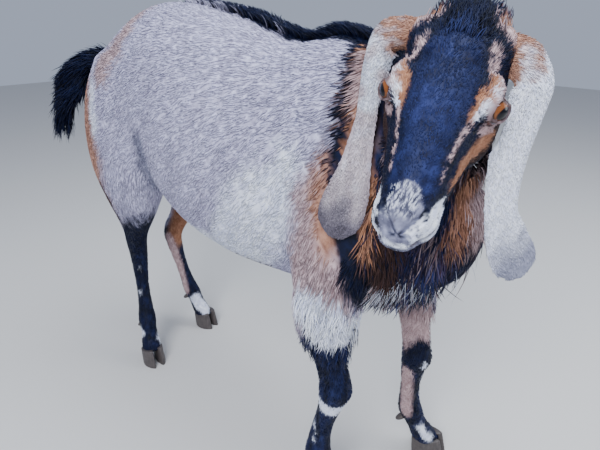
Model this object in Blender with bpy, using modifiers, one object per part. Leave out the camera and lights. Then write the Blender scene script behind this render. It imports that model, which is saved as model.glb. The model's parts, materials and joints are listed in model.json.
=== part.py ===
"""A nubian buck, life size, standing with its head turned to its right.

The goat faces -Y and its left side is +X.  Every size is in metres and every
place is given from the floor (z = 0) and the goat's middle line (x = 0).
"""
import math
import random

import bpy
import bmesh
import numpy as np
from mathutils import Vector

NAME = "nubian_goat"
GAP = 0.0003            # air left between two touching pieces
ROUND_ROOM = 1.15       # a faceted piece is grown this much more than the gap
SEED = 11
BODY_GRID = 0.0075      # grid of the first skin over the body
HEAD_GRID = 0.0032      # the same over the head
BODY_TRIANGLES = 3900
HEAD_TRIANGLES = 1500
HEAD_SUNK = 0.004       # how far inside the head the body's own skin runs
LOCK_ROOT = 0.007       # how deep a lock's root is sunk
RIDGE_RUN = (-0.020, 0.440, 0.0170)     # along the back: from, to, step
CHEST_SPACING = 0.036
CHEST_TRIES = 900
EAR_ROOM = 0.048        # locks keep this far from the hanging ears
# Length, width and thickness of the locks of each place.
RIDGE_LOCK = (0.030, 0.016, 0.009)
CHEST_LOCK = (0.046, 0.026, 0.009)
FRINGE_LOCK = (0.052, 0.020, 0.008)
TAIL_LOCK = (0.040, 0.018, 0.007)
CROWN_LOCK = (0.028, 0.018, 0.009)

# Along the trunk, front to rear: place, top, bottom, half width, side shift.
TRUNK = [
    (-0.108, 0.630, 0.488, 0.068, 0.000),
    (-0.065, 0.705, 0.438, 0.101, 0.000),
    (0.000, 0.766, 0.416, 0.118, 0.000),
    (0.080, 0.804, 0.408, 0.130, 0.000),
    (0.170, 0.797, 0.402, 0.150, 0.000),
    (0.280, 0.823, 0.398, 0.168, 0.000),
    (0.380, 0.842, 0.414, 0.166, -0.003),
    (0.460, 0.850, 0.448, 0.150, -0.006),
    (0.550, 0.846, 0.490, 0.132, -0.010),
    (0.630, 0.812, 0.530, 0.118, -0.013),
    (0.700, 0.762, 0.560, 0.098, -0.016),
    (0.745, 0.718, 0.600, 0.068, -0.018),
]
# Down each leg: height, side, front-back place, half width, front half, back half.
FORE_RIGHT = [
    (0.680, -0.078, 0.045, 0.040, 0.070, 0.075),
    (0.600, -0.092, 0.020, 0.050, 0.085, 0.090),
    (0.530, -0.102, 0.012, 0.050, 0.080, 0.085),
    (0.465, -0.110, 0.020, 0.043, 0.058, 0.062),
    (0.410, -0.112, 0.022, 0.035, 0.040, 0.046),
    (0.350, -0.107, 0.016, 0.027, 0.029, 0.032),
    (0.310, -0.102, 0.011, 0.026, 0.028, 0.026),
    (0.283, -0.100, 0.010, 0.029, 0.031, 0.026),
    (0.250, -0.098, 0.018, 0.023, 0.024, 0.022),
    (0.190, -0.095, 0.035, 0.0175, 0.018, 0.021),
    (0.145, -0.093, 0.044, 0.019, 0.020, 0.024),
    (0.118, -0.093, 0.046, 0.0225, 0.023, 0.027),
    (0.085, -0.095, 0.032, 0.0200, 0.021, 0.025),
    (0.058, -0.097, 0.018, 0.0230, 0.026, 0.028),
    (0.030, -0.098, 0.010, 0.0250, 0.028, 0.030),
]
FORE_LEFT = [
    (0.680, 0.074, 0.045, 0.040, 0.070, 0.075),
    (0.600, 0.088, 0.018, 0.050, 0.085, 0.090),
    (0.530, 0.096, 0.008, 0.050, 0.080, 0.085),
    (0.465, 0.100, 0.010, 0.043, 0.058, 0.062),
    (0.400, 0.098, 0.004, 0.035, 0.040, 0.046),
    (0.340, 0.090, -0.012, 0.027, 0.029, 0.032),
    (0.295, 0.085, -0.022, 0.026, 0.028, 0.026),
    (0.265, 0.084, -0.025, 0.029, 0.031, 0.026),
    (0.235, 0.087, -0.020, 0.023, 0.024, 0.022),
    (0.180, 0.097, -0.015, 0.0175, 0.018, 0.021),
    (0.140, 0.105, -0.013, 0.019, 0.020, 0.024),
    (0.115, 0.111, -0.014, 0.0225, 0.023, 0.027),
    (0.085, 0.122, -0.021, 0.0200, 0.021, 0.025),
    (0.058, 0.135, -0.030, 0.0230, 0.026, 0.028),
    (0.030, 0.144, -0.036, 0.0250, 0.028, 0.030),
]
HIND_RIGHT = [
    (0.740, -0.070, 0.600, 0.050, 0.080, 0.105),
    (0.660, -0.088, 0.590, 0.062, 0.110, 0.150),
    (0.570, -0.098, 0.585, 0.062, 0.110, 0.165),
    (0.500, -0.102, 0.588, 0.055, 0.098, 0.142),
    (0.440, -0.098, 0.603, 0.044, 0.074, 0.098),
    (0.390, -0.088, 0.630, 0.034, 0.054, 0.056),
    (0.345, -0.077, 0.660, 0.026, 0.040, 0.038),
    (0.308, -0.068, 0.682, 0.023, 0.036, 0.035),
    (0.280, -0.063, 0.690, 0.0225, 0.031, 0.030),
    (0.245, -0.065, 0.686, 0.0200, 0.026, 0.024),
    (0.190, -0.072, 0.672, 0.0165, 0.018, 0.020),
    (0.140, -0.079, 0.657, 0.0180, 0.019, 0.022),
    (0.108, -0.084, 0.648, 0.0215, 0.022, 0.026),
    (0.080, -0.089, 0.636, 0.0190, 0.020, 0.023),
    (0.056, -0.093, 0.627, 0.0220, 0.024, 0.026),
    (0.030, -0.097, 0.620, 0.0235, 0.026, 0.028),
]
HIND_LEFT = [
    (0.740, 0.048, 0.600, 0.050, 0.080, 0.105),
    (0.660, 0.066, 0.592, 0.062, 0.110, 0.148),
    (0.570, 0.078, 0.590, 0.062, 0.108, 0.160),
    (0.500, 0.082, 0.595, 0.055, 0.096, 0.136),
    (0.440, 0.078, 0.615, 0.044, 0.074, 0.092),
    (0.390, 0.068, 0.645, 0.034, 0.054, 0.054),
    (0.345, 0.058, 0.675, 0.026, 0.040, 0.038),
    (0.310, 0.050, 0.697, 0.023, 0.036, 0.035),
    (0.285, 0.047, 0.704, 0.0225, 0.031, 0.030),
    (0.250, 0.050, 0.702, 0.0200, 0.026, 0.024),
    (0.195, 0.058, 0.693, 0.0165, 0.018, 0.020),
    (0.145, 0.067, 0.684, 0.0180, 0.019, 0.022),
    (0.113, 0.074, 0.678, 0.0215, 0.022, 0.026),
    (0.082, 0.081, 0.670, 0.0190, 0.020, 0.023),
    (0.056, 0.088, 0.664, 0.0220, 0.024, 0.026),
    (0.030, 0.094, 0.659, 0.0235, 0.026, 0.028),
]
# Up the neck: place along it, side shift, back half, throat half, half width.
NECK_FROM = (0.000, 0.060, 0.640)
NECK_TO = (-0.055, -0.115, 0.775)
NECK = [
    (-0.030, 0.000, 0.130, 0.200, 0.090),
    (0.040, 0.000, 0.132, 0.182, 0.103),
    (0.100, 0.000, 0.110, 0.142, 0.091),
    (0.150, 0.000, 0.090, 0.112, 0.074),
    (0.190, 0.000, 0.076, 0.088, 0.060),
    (0.220, 0.000, 0.052, 0.066, 0.046),
]
# Head: poll, turn to the right, nose dip and tilt in degrees.
POLL = (-0.067, -0.120, 0.829)
HEAD_TURN, HEAD_DIP, HEAD_TILT = 75.0, 42.1, -10.1
# Along the head: from the poll to the nose, top, bottom, half width.
HEAD = [
    (-0.030, -0.004, -0.085, 0.046),
    (0.000, 0.006, -0.100, 0.054),
    (0.030, 0.011, -0.108, 0.057),
    (0.060, 0.015, -0.112, 0.058),
    (0.090, 0.018, -0.109, 0.055),
    (0.120, 0.018, -0.100, 0.047),
    (0.150, 0.014, -0.090, 0.041),
    (0.180, 0.006, -0.080, 0.035),
    (0.205, -0.004, -0.074, 0.0300),
    (0.225, -0.013, -0.067, 0.0270),
    (0.236, -0.024, -0.060, 0.0200),
]
EYE_AT = (0.091, 0.0475, -0.018)     # eyeball centre in the head's own axes
EYE_RADIUS = 0.0160
EYE_LOOKS = (0.45, 0.80, 0.40)       # ahead, outward and up parts of its axis
LID_WIDE, LID_HIGH = 39.0, 27.0      # half angles of the opening between the lids
LID_THICK = 0.0030
EYE_TILT = 12.0         # how far the opening leans, in degrees
# Swellings on both sides of the skull: place, radii, and the width of their fillet.
PAIRED_SWELLINGS = {
    "brow rim": ((0.087, 0.0445, -0.007), (0.026, 0.014, 0.012), 0.012),
    "jaw": ((0.088, 0.037, -0.060), (0.040, 0.021, 0.037), 0.020),
    "horn bud": ((0.052, 0.019, 0.009), (0.011, 0.009, 0.0095), 0.008),
    "upper lip": ((0.210, 0.0155, -0.050), (0.026, 0.017, 0.019), 0.010),
    "nostril wing": ((0.223, 0.0140, -0.029), (0.014, 0.0110, 0.012), 0.008),
    "ear root": ((0.018, 0.044, -0.014), (0.022, 0.011, 0.017), 0.018),
}
CHIN = ((0.208, 0.0, -0.074), (0.024, 0.022, 0.014), 0.010)
CROWN_SPOTS = ((0.000, -0.020), (0.000, 0.000), (0.000, 0.020), (0.014, -0.010), (0.014, 0.010))
# Each foot: its middle, the toe's turn to the left in degrees, its length.
FEET = {
    "foreleg_right": ((-0.099, 0.000), -4.0, 0.064),
    "foreleg_left": ((0.148, -0.044), 18.0, 0.064),
    "hindleg_right": ((-0.098, 0.610), -6.0, 0.058),
    "hindleg_left": ((0.097, 0.650), 10.0, 0.058),
}
CORONET = 0.043         # height of the horn's upper rim over the claw's middle
CORONET_RISE = 0.010    # how much higher the rim is at the toe than at the heel
CLAW_HALF = 0.0125      # half width of one claw
CLAW_APART = 0.0143     # from the foot's middle to a claw's middle
# Down each ear: place of its middle line, width, cup depth.
EAR_LEFT = [
    (-0.067, -0.150, 0.797, 0.038, 0.007),
    (-0.057, -0.175, 0.795, 0.046, 0.010),
    (-0.048, -0.194, 0.786, 0.053, 0.015),
    (-0.043, -0.205, 0.766, 0.056, 0.018),
    (-0.047, -0.201, 0.733, 0.061, 0.019),
    (-0.052, -0.196, 0.695, 0.060, 0.018),
    (-0.054, -0.194, 0.655, 0.057, 0.015),
    (-0.053, -0.195, 0.620, 0.059, 0.010),
    (-0.047, -0.201, 0.588, 0.069, 0.003),
    (-0.041, -0.207, 0.563, 0.062, -0.004),
    (-0.040, -0.208, 0.545, 0.022, -0.002),
]
EAR_RIGHT = [
    (-0.086, -0.080, 0.811, 0.034, 0.007),
    (-0.103, -0.062, 0.813, 0.038, 0.010),
    (-0.115, -0.049, 0.807, 0.039, 0.014),
    (-0.122, -0.041, 0.784, 0.035, 0.016),
    (-0.125, -0.037, 0.747, 0.032, 0.015),
    (-0.127, -0.034, 0.708, 0.032, 0.015),
    (-0.132, -0.030, 0.668, 0.040, 0.014),
    (-0.138, -0.026, 0.634, 0.054, 0.010),
    (-0.142, -0.021, 0.605, 0.062, 0.003),
    (-0.144, -0.019, 0.588, 0.054, -0.003),
    (-0.145, -0.018, 0.573, 0.022, -0.002),
]
EAR_LEFT_FACES = (-0.30, -0.95, 0.0)    # the way each ear's outer side faces
EAR_RIGHT_FACES = (-0.98, -0.18, 0.0)
EAR_THICK = 0.0055
EAR_RINGS = 16
EAR_ROOT_RINGS = 3      # rings of the ear that may lie in the head
# Along the tail: place of its middle, half width, half thickness.
TAIL = [
    (-0.020, 0.690, 0.712, 0.020, 0.018),
    (-0.035, 0.722, 0.728, 0.021, 0.018),
    (-0.055, 0.752, 0.734, 0.024, 0.017),
    (-0.080, 0.778, 0.722, 0.029, 0.015),
    (-0.104, 0.796, 0.692, 0.030, 0.013),
    (-0.122, 0.808, 0.655, 0.025, 0.011),
    (-0.132, 0.816, 0.616, 0.015, 0.007),
]
# Thin cuts that part the nodes: centre, way they face, half width, half height.
PARTINGS = {
    "neck_base": ((0.000, -0.014, 0.655), (-0.241, -0.768, 0.593), 0.200, 0.240),
    "elbow_right": ((-0.112, 0.024, 0.404), (0, 0, 1), 0.062, 0.080),
    "elbow_left": ((0.098, 0.006, 0.404), (0, 0, 1), 0.062, 0.080),
    "knee_right": ((-0.098, 0.016, 0.258), (0, 0, 1), 0.050, 0.050),
    "knee_left": ((0.086, -0.022, 0.240), (0, 0, 1), 0.050, 0.050),
    "thigh_right": ((-0.098, 0.606, 0.430), (0, 0, 1), 0.064, 0.130),
    "thigh_left": ((0.078, 0.620, 0.430), (0, 0, 1), 0.064, 0.130),
    "hock_right": ((-0.064, 0.688, 0.256), (0, 0, 1), 0.040, 0.050),
    "hock_left": ((0.049, 0.703, 0.262), (0, 0, 1), 0.040, 0.050),
}
# A point near the middle of every node that the cuts leave.
MIDDLES = {
    "torso": (0.0, 0.35, 0.60), "neck": (-0.03, -0.06, 0.72),
    "foreleg_right_upper": (-0.105, 0.015, 0.34), "foreleg_left_upper": (0.09, -0.01, 0.33),
    "foreleg_right_lower": (-0.095, 0.035, 0.15), "foreleg_left_lower": (0.11, -0.02, 0.14),
    "hindleg_right_upper": (-0.08, 0.65, 0.34), "hindleg_left_upper": (0.06, 0.67, 0.34),
    "hindleg_right_lower": (-0.08, 0.66, 0.15), "hindleg_left_lower": (0.07, 0.68, 0.15),
}
# Colour and roughness of each node, by the start of its name.
COLOURS = [
    ("torso", ((0.42, 0.38, 0.42), 0.80)), ("neck", ((0.13, 0.075, 0.05), 0.75)),
    ("head", ((0.030, 0.034, 0.060), 0.60)), ("ear", ((0.62, 0.60, 0.66), 0.75)),
    ("tail", ((0.014, 0.014, 0.022), 0.65)), ("eye", ((0.42, 0.16, 0.04), 0.08)),
    ("foreleg", ((0.022, 0.026, 0.045), 0.65)), ("hindleg", ((0.026, 0.026, 0.040), 0.70)),
    ("claw", ((0.075, 0.062, 0.055), 0.55)), ("dewclaw", ((0.075, 0.062, 0.055), 0.55)),
]
MOUTH_FRONT = np.array([0.250, -0.042])      # mouth line: ahead and up, at the lips
MOUTH_CORNER = np.array([0.176, -0.054])     # and at its corner
MOUTH_SPAN = 0.045
MOUTH_OPEN, MOUTH_DEEP = 0.0011, 0.0035
NOSTRIL_DEEP = 0.006
NOSTRIL_TOP = np.array([0.220, 0.0195, -0.016])
NOSTRIL_LOW = np.array([0.236, 0.0095, -0.024])
# Between the two dewclaws of each leg: height, side, front-back place.
FETLOCKS = {
    "foreleg_right": (0.096, -0.0945, 0.0370), "foreleg_left": (0.094, 0.1180, -0.0180),
    "hindleg_right": (0.090, -0.0875, 0.6400), "hindleg_left": (0.092, 0.0785, 0.6720),
}
DEWCLAW_BACK = 0.0225
DEWCLAW_APART = 0.0095
DEWCLAW_SIZE = 0.0075


def clear_scene():
    for item in list(bpy.data.objects):
        bpy.data.objects.remove(item, do_unlink=True)


def collection(name):
    made = bpy.data.collections.new(name)
    bpy.context.scene.collection.children.link(made)
    return made


def material(name, colour, rough=0.7):
    made = bpy.data.materials.new(name)
    made.use_nodes = True
    shader = made.node_tree.nodes["Principled BSDF"]
    shader.inputs["Base Color"].default_value = (*colour, 1.0)
    shader.inputs["Roughness"].default_value = rough
    made.diffuse_color = (*colour, 1.0)
    return made


def unit(vector):
    vector = np.asarray(vector, float)
    return vector / np.linalg.norm(vector)


def smooth_rows(rows, count=160):
    """Rows of numbers, spaced by their first column, as a smooth finer table."""
    rows = np.array(rows, float)
    rows = rows[np.argsort(rows[:, 0])]
    knots = rows[:, 0]
    slopes = np.gradient(rows, knots, axis=0)
    fine = np.linspace(knots[0], knots[-1], count)
    left = np.clip(np.searchsorted(knots, fine) - 1, 0, len(knots) - 2)
    width = (knots[left + 1] - knots[left])[:, None]
    t = (fine - knots[left])[:, None] / width
    start = (2 * t**3 - 3 * t**2 + 1) * rows[left] + (t**3 - 2 * t**2 + t) * width * slopes[left]
    end = (3 * t**2 - 2 * t**3) * rows[left + 1] + (t**3 - t**2) * width * slopes[left + 1]
    table = start + end
    table[:, 0] = fine
    return table


class Limb:
    """A fleshy length: oval slices square to a straight line.

    Each slice has its place along the line, the side and up shift of its
    centre, its half width and its half heights above and below the centre.
    """

    def __init__(self, origin, along, side, up, slices, cap):
        self.origin = np.array(origin, float)
        self.axes = np.array([along, side, up], float)
        self.table = smooth_rows(slices)
        self.cap = cap

    def at(self, column, place):
        return np.interp(place, self.table[:, 0], self.table[:, column])

    def distance(self, points):
        local = (points - self.origin) @ self.axes.T
        place = np.clip(local[:, 0], self.table[0, 0], self.table[-1, 0])
        past = (local[:, 0] - place) / self.cap
        side = local[:, 1] - self.at(1, place)
        rise = local[:, 2] - self.at(2, place)
        wide = self.at(3, place)
        high = np.where(rise > 0, self.at(4, place), self.at(5, place))
        ratio = np.sqrt((side / wide) ** 2 + (rise / high) ** 2 + past**2)
        reach = np.sqrt(side**2 + rise**2 + (past * self.cap) ** 2)
        scale = np.where(ratio > 1e-3, reach / np.maximum(ratio, 1e-3), np.minimum(wide, high))
        return (ratio - 1.0) * scale

    def blank(self, name, home, rings=26, points=20):
        """The limb as a plain closed tube."""
        places = np.linspace(self.table[0, 0], self.table[-1, 0], rings)
        angle = np.linspace(0, 2 * math.pi, points, endpoint=False)
        rows = []
        for place in places:
            high = np.where(np.sin(angle) > 0, self.at(4, place), self.at(5, place))
            local = np.stack([
                np.full(points, place),
                self.at(1, place) + np.cos(angle) * self.at(3, place),
                self.at(2, place) + np.sin(angle) * high], 1)
            rows.append(self.origin + local @ self.axes)
        return tube(name, rows, home)


def tube(name, rows, home):
    """A closed mesh through rings that all have the same number of points."""
    count = len(rows[0])
    verts = np.concatenate(rows)
    faces = []
    for ring in range(len(rows) - 1):
        for point in range(count):
            a = ring * count + point
            b = ring * count + (point + 1) % count
            faces.append((a, b, b + count, a + count))
    faces.append(tuple(reversed(range(count))))
    faces.append(tuple(range((len(rows) - 1) * count, len(rows) * count)))
    mesh = bpy.data.meshes.new(name)
    mesh.from_pydata([tuple(v) for v in verts], [], faces)
    item = bpy.data.objects.new(name, mesh)
    home.objects.link(item)
    face_out(item)
    return item


def face_out(item):
    shell = bmesh.new()
    shell.from_mesh(item.data)
    bmesh.ops.recalc_face_normals(shell, faces=shell.faces)
    shell.to_mesh(item.data)
    shell.free()


def settle(item):
    """Turn the object's modifiers into its own mesh."""
    graph = bpy.context.evaluated_depsgraph_get()
    solved = bpy.data.meshes.new_from_object(item.evaluated_get(graph))
    item.modifiers.clear()
    old = item.data
    item.data = solved
    bpy.data.meshes.remove(old)
    return item


def combine(item, others, operation):
    """One Boolean of an object with all the others, which are then removed."""
    group = bpy.data.collections.new("operands")
    bpy.context.scene.collection.children.link(group)
    for other in others:
        for home in list(other.users_collection):
            home.objects.unlink(other)
        group.objects.link(other)
    change = item.modifiers.new("combine", "BOOLEAN")
    change.operation = operation
    change.solver = "EXACT"
    change.operand_type = "COLLECTION"
    change.collection = group
    settle(item)
    for other in others:
        bpy.data.objects.remove(other, do_unlink=True)
    bpy.data.collections.remove(group)
    return item


def tidy(item, weld=0.000002):
    """Weld doubles, drop slivers and make triangles."""
    shell = bmesh.new()
    shell.from_mesh(item.data)
    bmesh.ops.remove_doubles(shell, verts=shell.verts, dist=weld)
    bmesh.ops.dissolve_degenerate(shell, edges=shell.edges, dist=weld)
    bmesh.ops.triangulate(shell, faces=shell.faces)
    bmesh.ops.recalc_face_normals(shell, faces=shell.faces)
    shell.to_mesh(item.data)
    shell.free()
    return item


def loose_parts(item, home):
    """Every separate closed surface of an object, largest first, as objects."""
    shell = bmesh.new()
    shell.from_mesh(item.data)
    shell.verts.ensure_lookup_table()
    seen = set()
    groups = []
    for vert in shell.verts:
        if vert.index in seen:
            continue
        stack = [vert]
        seen.add(vert.index)
        members = []
        while stack:
            here = stack.pop()
            members.append(here.index)
            for edge in here.link_edges:
                other = edge.other_vert(here)
                if other.index not in seen:
                    seen.add(other.index)
                    stack.append(other)
        groups.append(members)
    groups.sort(key=len, reverse=True)
    made = []
    for order, members in enumerate(groups):
        keep = set(members)
        part = shell.copy()
        part.verts.ensure_lookup_table()
        drop = [v for v in part.verts if v.index not in keep]
        bmesh.ops.delete(part, geom=drop, context="VERTS")
        mesh = bpy.data.meshes.new(f"piece_{order}")
        part.to_mesh(mesh)
        part.free()
        piece = bpy.data.objects.new(mesh.name, mesh)
        home.objects.link(piece)
        made.append(piece)
    shell.free()
    bpy.data.objects.remove(item, do_unlink=True)
    return made


def keep_largest(item, home):
    name = item.name
    parts = loose_parts(item, home)
    for extra in parts[1:]:
        bpy.data.objects.remove(extra, do_unlink=True)
    parts[0].name = name
    parts[0].data.name = name
    return parts[0]


def slab(centre, normal, half_wide, half_high, home):
    """A sheet of air as thin as the gap, to part two nodes."""
    bpy.ops.mesh.primitive_cube_add(size=2.0)
    sheet = bpy.context.object
    for owner in list(sheet.users_collection):
        owner.objects.unlink(sheet)
    home.objects.link(sheet)
    aim = Vector(normal).normalized()
    frame = aim.to_track_quat("Z", "Y").to_matrix()
    for vert in sheet.data.vertices:
        flat = Vector((vert.co.x * half_wide, vert.co.y * half_high, vert.co.z * GAP / 2))
        vert.co = frame @ flat + Vector(centre)
    sheet.name = "sheet"
    sheet.hide_render = True
    sheet.display_type = "WIRE"
    return sheet


def points_of(item):
    flat = np.empty(len(item.data.vertices) * 3)
    item.data.vertices.foreach_get("co", flat)
    return flat.reshape(-1, 3)


def set_points(item, points):
    item.data.vertices.foreach_set("co", np.asarray(points, float).ravel())
    item.data.update()


def leg_limb(rows):
    """A leg's slices are level; its line runs down, its up axis faces ahead."""
    slices = [(-z, x, -y, wide, front, back) for z, x, y, wide, front, back in rows]
    return Limb((0, 0, 0), (0, 0, -1), (1, 0, 0), (0, -1, 0), slices, 0.02)


def head_axes():
    turn, dip, tilt = (math.radians(v) for v in (HEAD_TURN, HEAD_DIP, HEAD_TILT))
    level = np.array([-math.sin(turn), -math.cos(turn), 0.0])
    ahead = math.cos(dip) * level - math.sin(dip) * np.array([0.0, 0.0, 1.0])
    left = np.array([math.cos(turn), -math.sin(turn), 0.0])
    up = np.cross(ahead, left)
    up *= np.sign(up[2])
    side = math.cos(tilt) * left + math.sin(tilt) * up
    rise = -math.sin(tilt) * left + math.cos(tilt) * up
    return ahead, side, rise


AHEAD, LEFT, RISE = head_axes()


def on_head(a, b, c):
    return np.array(POLL) + a * AHEAD + b * LEFT + c * RISE


def neck_axes():
    along = unit(np.subtract(NECK_TO, NECK_FROM))
    up = unit(np.array([0, 0, 1.0]) - along[2] * along)
    return along, np.cross(up, along), up


def blend(first, second, width):
    """The smaller of two distances, rounded where they are nearly equal."""
    mix = np.clip(0.5 + 0.5 * (second - first) / width, 0, 1)
    return second * (1 - mix) + first * mix - width * mix * (1 - mix)


class Ball:
    """A soft egg-shaped swelling."""

    def __init__(self, centre, radii, axes):
        self.centre = np.array(centre, float)
        self.radii = np.array(radii, float)
        self.axes = np.array(axes, float)

    def distance(self, points):
        local = (points - self.centre) @ self.axes.T
        ratio = np.sqrt(((local / self.radii) ** 2).sum(1))
        reach = np.sqrt((local**2).sum(1))
        scale = np.where(ratio > 1e-3, reach / np.maximum(ratio, 1e-3), self.radii.min())
        return (ratio - 1.0) * scale


def make_limbs():
    trunk = [(y, shift, (top + low) / 2, wide, (top - low) / 2, (top - low) / 2)
             for y, top, low, wide, shift in TRUNK]
    limbs = {"trunk": Limb((0, 0, 0), (0, 1, 0), (1, 0, 0), (0, 0, 1), trunk, 0.03)}
    along, side, up = neck_axes()
    neck = [(place, shift, 0.0, wide, high, low) for place, shift, high, low, wide in NECK]
    limbs["neck"] = Limb(NECK_FROM, along, side, up, neck, 0.04)
    head = [(place, 0.0, (top + low) / 2, wide, (top - low) / 2, (top - low) / 2)
            for place, top, low, wide in HEAD]
    limbs["head"] = Limb(POLL, AHEAD, LEFT, RISE, head, 0.016)
    for name, rows in (("foreleg_right", FORE_RIGHT), ("foreleg_left", FORE_LEFT),
                       ("hindleg_right", HIND_RIGHT), ("hindleg_left", HIND_LEFT)):
        limbs[name] = leg_limb(rows)
    return limbs


def head_swellings():
    """Brow rims, jaws, horn buds, lips and chin on the skull's plain form."""
    axes = (AHEAD, LEFT, RISE)
    made = []
    for s in (1, -1):
        for (a, b, c), radii, width in PAIRED_SWELLINGS.values():
            made.append((Ball(on_head(a, s * b, c), radii, axes), width))
    place, radii, width = CHIN
    made.append((Ball(on_head(*place), radii, axes), width))
    return made


LIMBS = make_limbs()
SWELLINGS = head_swellings()


def skull(points):
    """Signed distance to the head's own skin: below nought is inside."""
    value = LIMBS["head"].distance(points)
    for swelling, width in SWELLINGS:
        value = blend(value, swelling.distance(points), width)
    return value


def trunk_and_limbs(points):
    value = LIMBS["trunk"].distance(points)
    for name, width in (("foreleg_right", 0.035), ("foreleg_left", 0.035),
                        ("hindleg_right", 0.030), ("hindleg_left", 0.030), ("neck", 0.045)):
        value = blend(value, LIMBS[name].distance(points), width)
    return value


def body_flesh(points):
    """The body with a fillet that runs up to the head."""
    return blend(trunk_and_limbs(points), skull(points) + HEAD_SUNK, 0.018)


def flesh(points):
    return np.minimum(body_flesh(points), skull(points))


def slope(field, points, step=0.0008):
    out = np.empty_like(points)
    for axis in range(3):
        shift = np.zeros(3)
        shift[axis] = step
        out[:, axis] = (field(points + shift) - field(points - shift)) / (2 * step)
    return out


def onto_skin(field, points, rounds=4):
    """Move points down the slope of the distance until they lie on the skin."""
    for _ in range(rounds):
        value = field(points)
        grad = slope(field, points)
        push = value / np.maximum((grad**2).sum(1), 0.05)
        points = points - grad * np.clip(push, -0.012, 0.012)[:, None]
    return points


def skin_over(name, blanks, field, grid_size, triangles):
    """Joined closed forms become one skin, drawn tight onto the field."""
    body = blanks[0]
    with bpy.context.temp_override(active_object=body, selected_editable_objects=blanks):
        bpy.ops.object.join()
    body.name = name
    body.data.name = name
    grid = body.modifiers.new("grid", "REMESH")
    grid.mode = "VOXEL"
    grid.voxel_size = grid_size
    settle(body)
    set_points(body, onto_skin(field, points_of(body)))
    shell = bmesh.new()
    shell.from_mesh(body.data)
    bmesh.ops.smooth_vert(shell, verts=shell.verts, factor=0.5,
                          use_axis_x=True, use_axis_y=True, use_axis_z=True)
    shell.to_mesh(body.data)
    shell.free()
    set_points(body, onto_skin(field, points_of(body), 3))
    faces = sum(len(p.vertices) - 2 for p in body.data.polygons)
    thin = body.modifiers.new("thin", "DECIMATE")
    thin.ratio = triangles / faces
    thin.use_collapse_triangulate = True
    settle(body)
    return tidy(body)


def build_body(home):
    names = ("trunk", "neck", "foreleg_right", "foreleg_left", "hindleg_right", "hindleg_left")
    blanks = [LIMBS[name].blank(name, home) for name in names]
    return skin_over("body", blanks, body_flesh, BODY_GRID, BODY_TRIANGLES)


def build_head(home):
    blanks = [LIMBS["head"].blank("skull", home)]
    for order, (swelling, _) in enumerate(SWELLINGS):
        if max(swelling.radii) > 0.016:
            blanks.append(ball(f"swelling_{order}", swelling.centre, min(swelling.radii), home))
    return skin_over("head", blanks, skull, HEAD_GRID, HEAD_TRIANGLES)


def swollen_copy(item, home, by=GAP * ROUND_ROOM):
    """A copy grown by the gap, to cut a neighbour clear of the piece."""
    copy = item.copy()
    copy.data = item.data.copy()
    home.objects.link(copy)
    count = len(copy.data.vertices)
    normals = np.empty(count * 3)
    copy.data.vertex_normals.foreach_get("vector", normals)
    set_points(copy, points_of(copy) + normals.reshape(-1, 3) * by)
    return copy


def cut_clear(item, neighbours, home, work):
    combine(item, [swollen_copy(other, work) for other in neighbours], "DIFFERENCE")
    tidy(item)
    return keep_largest(item, home)


class Field:
    """A distance with the skin's slope at any place, for setting locks."""

    def __init__(self, distance):
        self.distance = distance

    def foot(self, points):
        points = onto_skin(self.distance, np.atleast_2d(np.array(points, float)), 6)
        normals = slope(self.distance, points)
        return points, normals / np.linalg.norm(normals, axis=1, keepdims=True)


def lock(name, foot, normal, lie, size, lift, droop, home):
    """One flat, tapered, bent lock of hair with its root sunk in the skin."""
    length, width, thick = size
    lie = unit(lie - (lie @ normal) * normal)
    across = np.cross(normal, lie)
    rings = []
    for t, swell in ((-0.16, 0.75), (0.15, 1.0), (0.62, 0.80), (1.0, 0.12)):
        middle = foot + lie * length * t + normal * (lift * length * t * (1.3 - 0.5 * t))
        if t < 0:
            middle = foot + lie * length * t - normal * LOCK_ROOT
        middle = middle + np.array([0, 0, -1.0]) * droop * length * max(t, 0) ** 2
        half_w, half_t = width / 2 * swell, thick / 2 * (0.35 + 0.65 * swell)
        rings.append(np.array([
            middle + across * half_w, middle + normal * half_t,
            middle - across * half_w, middle - normal * half_t]))
    return tube(name, rings, home)


def scatter(points, spacing):
    """Points kept so that no two are closer than the spacing."""
    kept = []
    for spot in points:
        if all(np.linalg.norm(spot - other) > spacing for other in kept):
            kept.append(spot)
    return np.array(kept)


def ridge_locks(home, draw):
    """Short upright hair along the middle of the back and up the nape."""
    field = Field(body_flesh)
    made = []
    starts = [(0.0, y, 0.855) for y in np.arange(*RIDGE_RUN)]
    starts += [(-0.013 - 0.03 * k, 0.00 - 0.016 * k, 0.86) for k in range(1, 4)]
    spots, normals = field.foot(starts)
    for order, (spot, normal) in enumerate(zip(spots, normals)):
        fade = 1.0 - 0.35 * max(0.0, (spot[1] - 0.25) / 0.25)
        size = (RIDGE_LOCK[0] * fade * draw.uniform(0.85, 1.15), *RIDGE_LOCK[1:])
        lie = np.array([draw.uniform(-0.2, 0.2), 1.0, 0.0])
        made.append(lock(f"ridge_{order}", spot, normal, lie, size, 0.85, 0.0, home))
    return made


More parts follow.
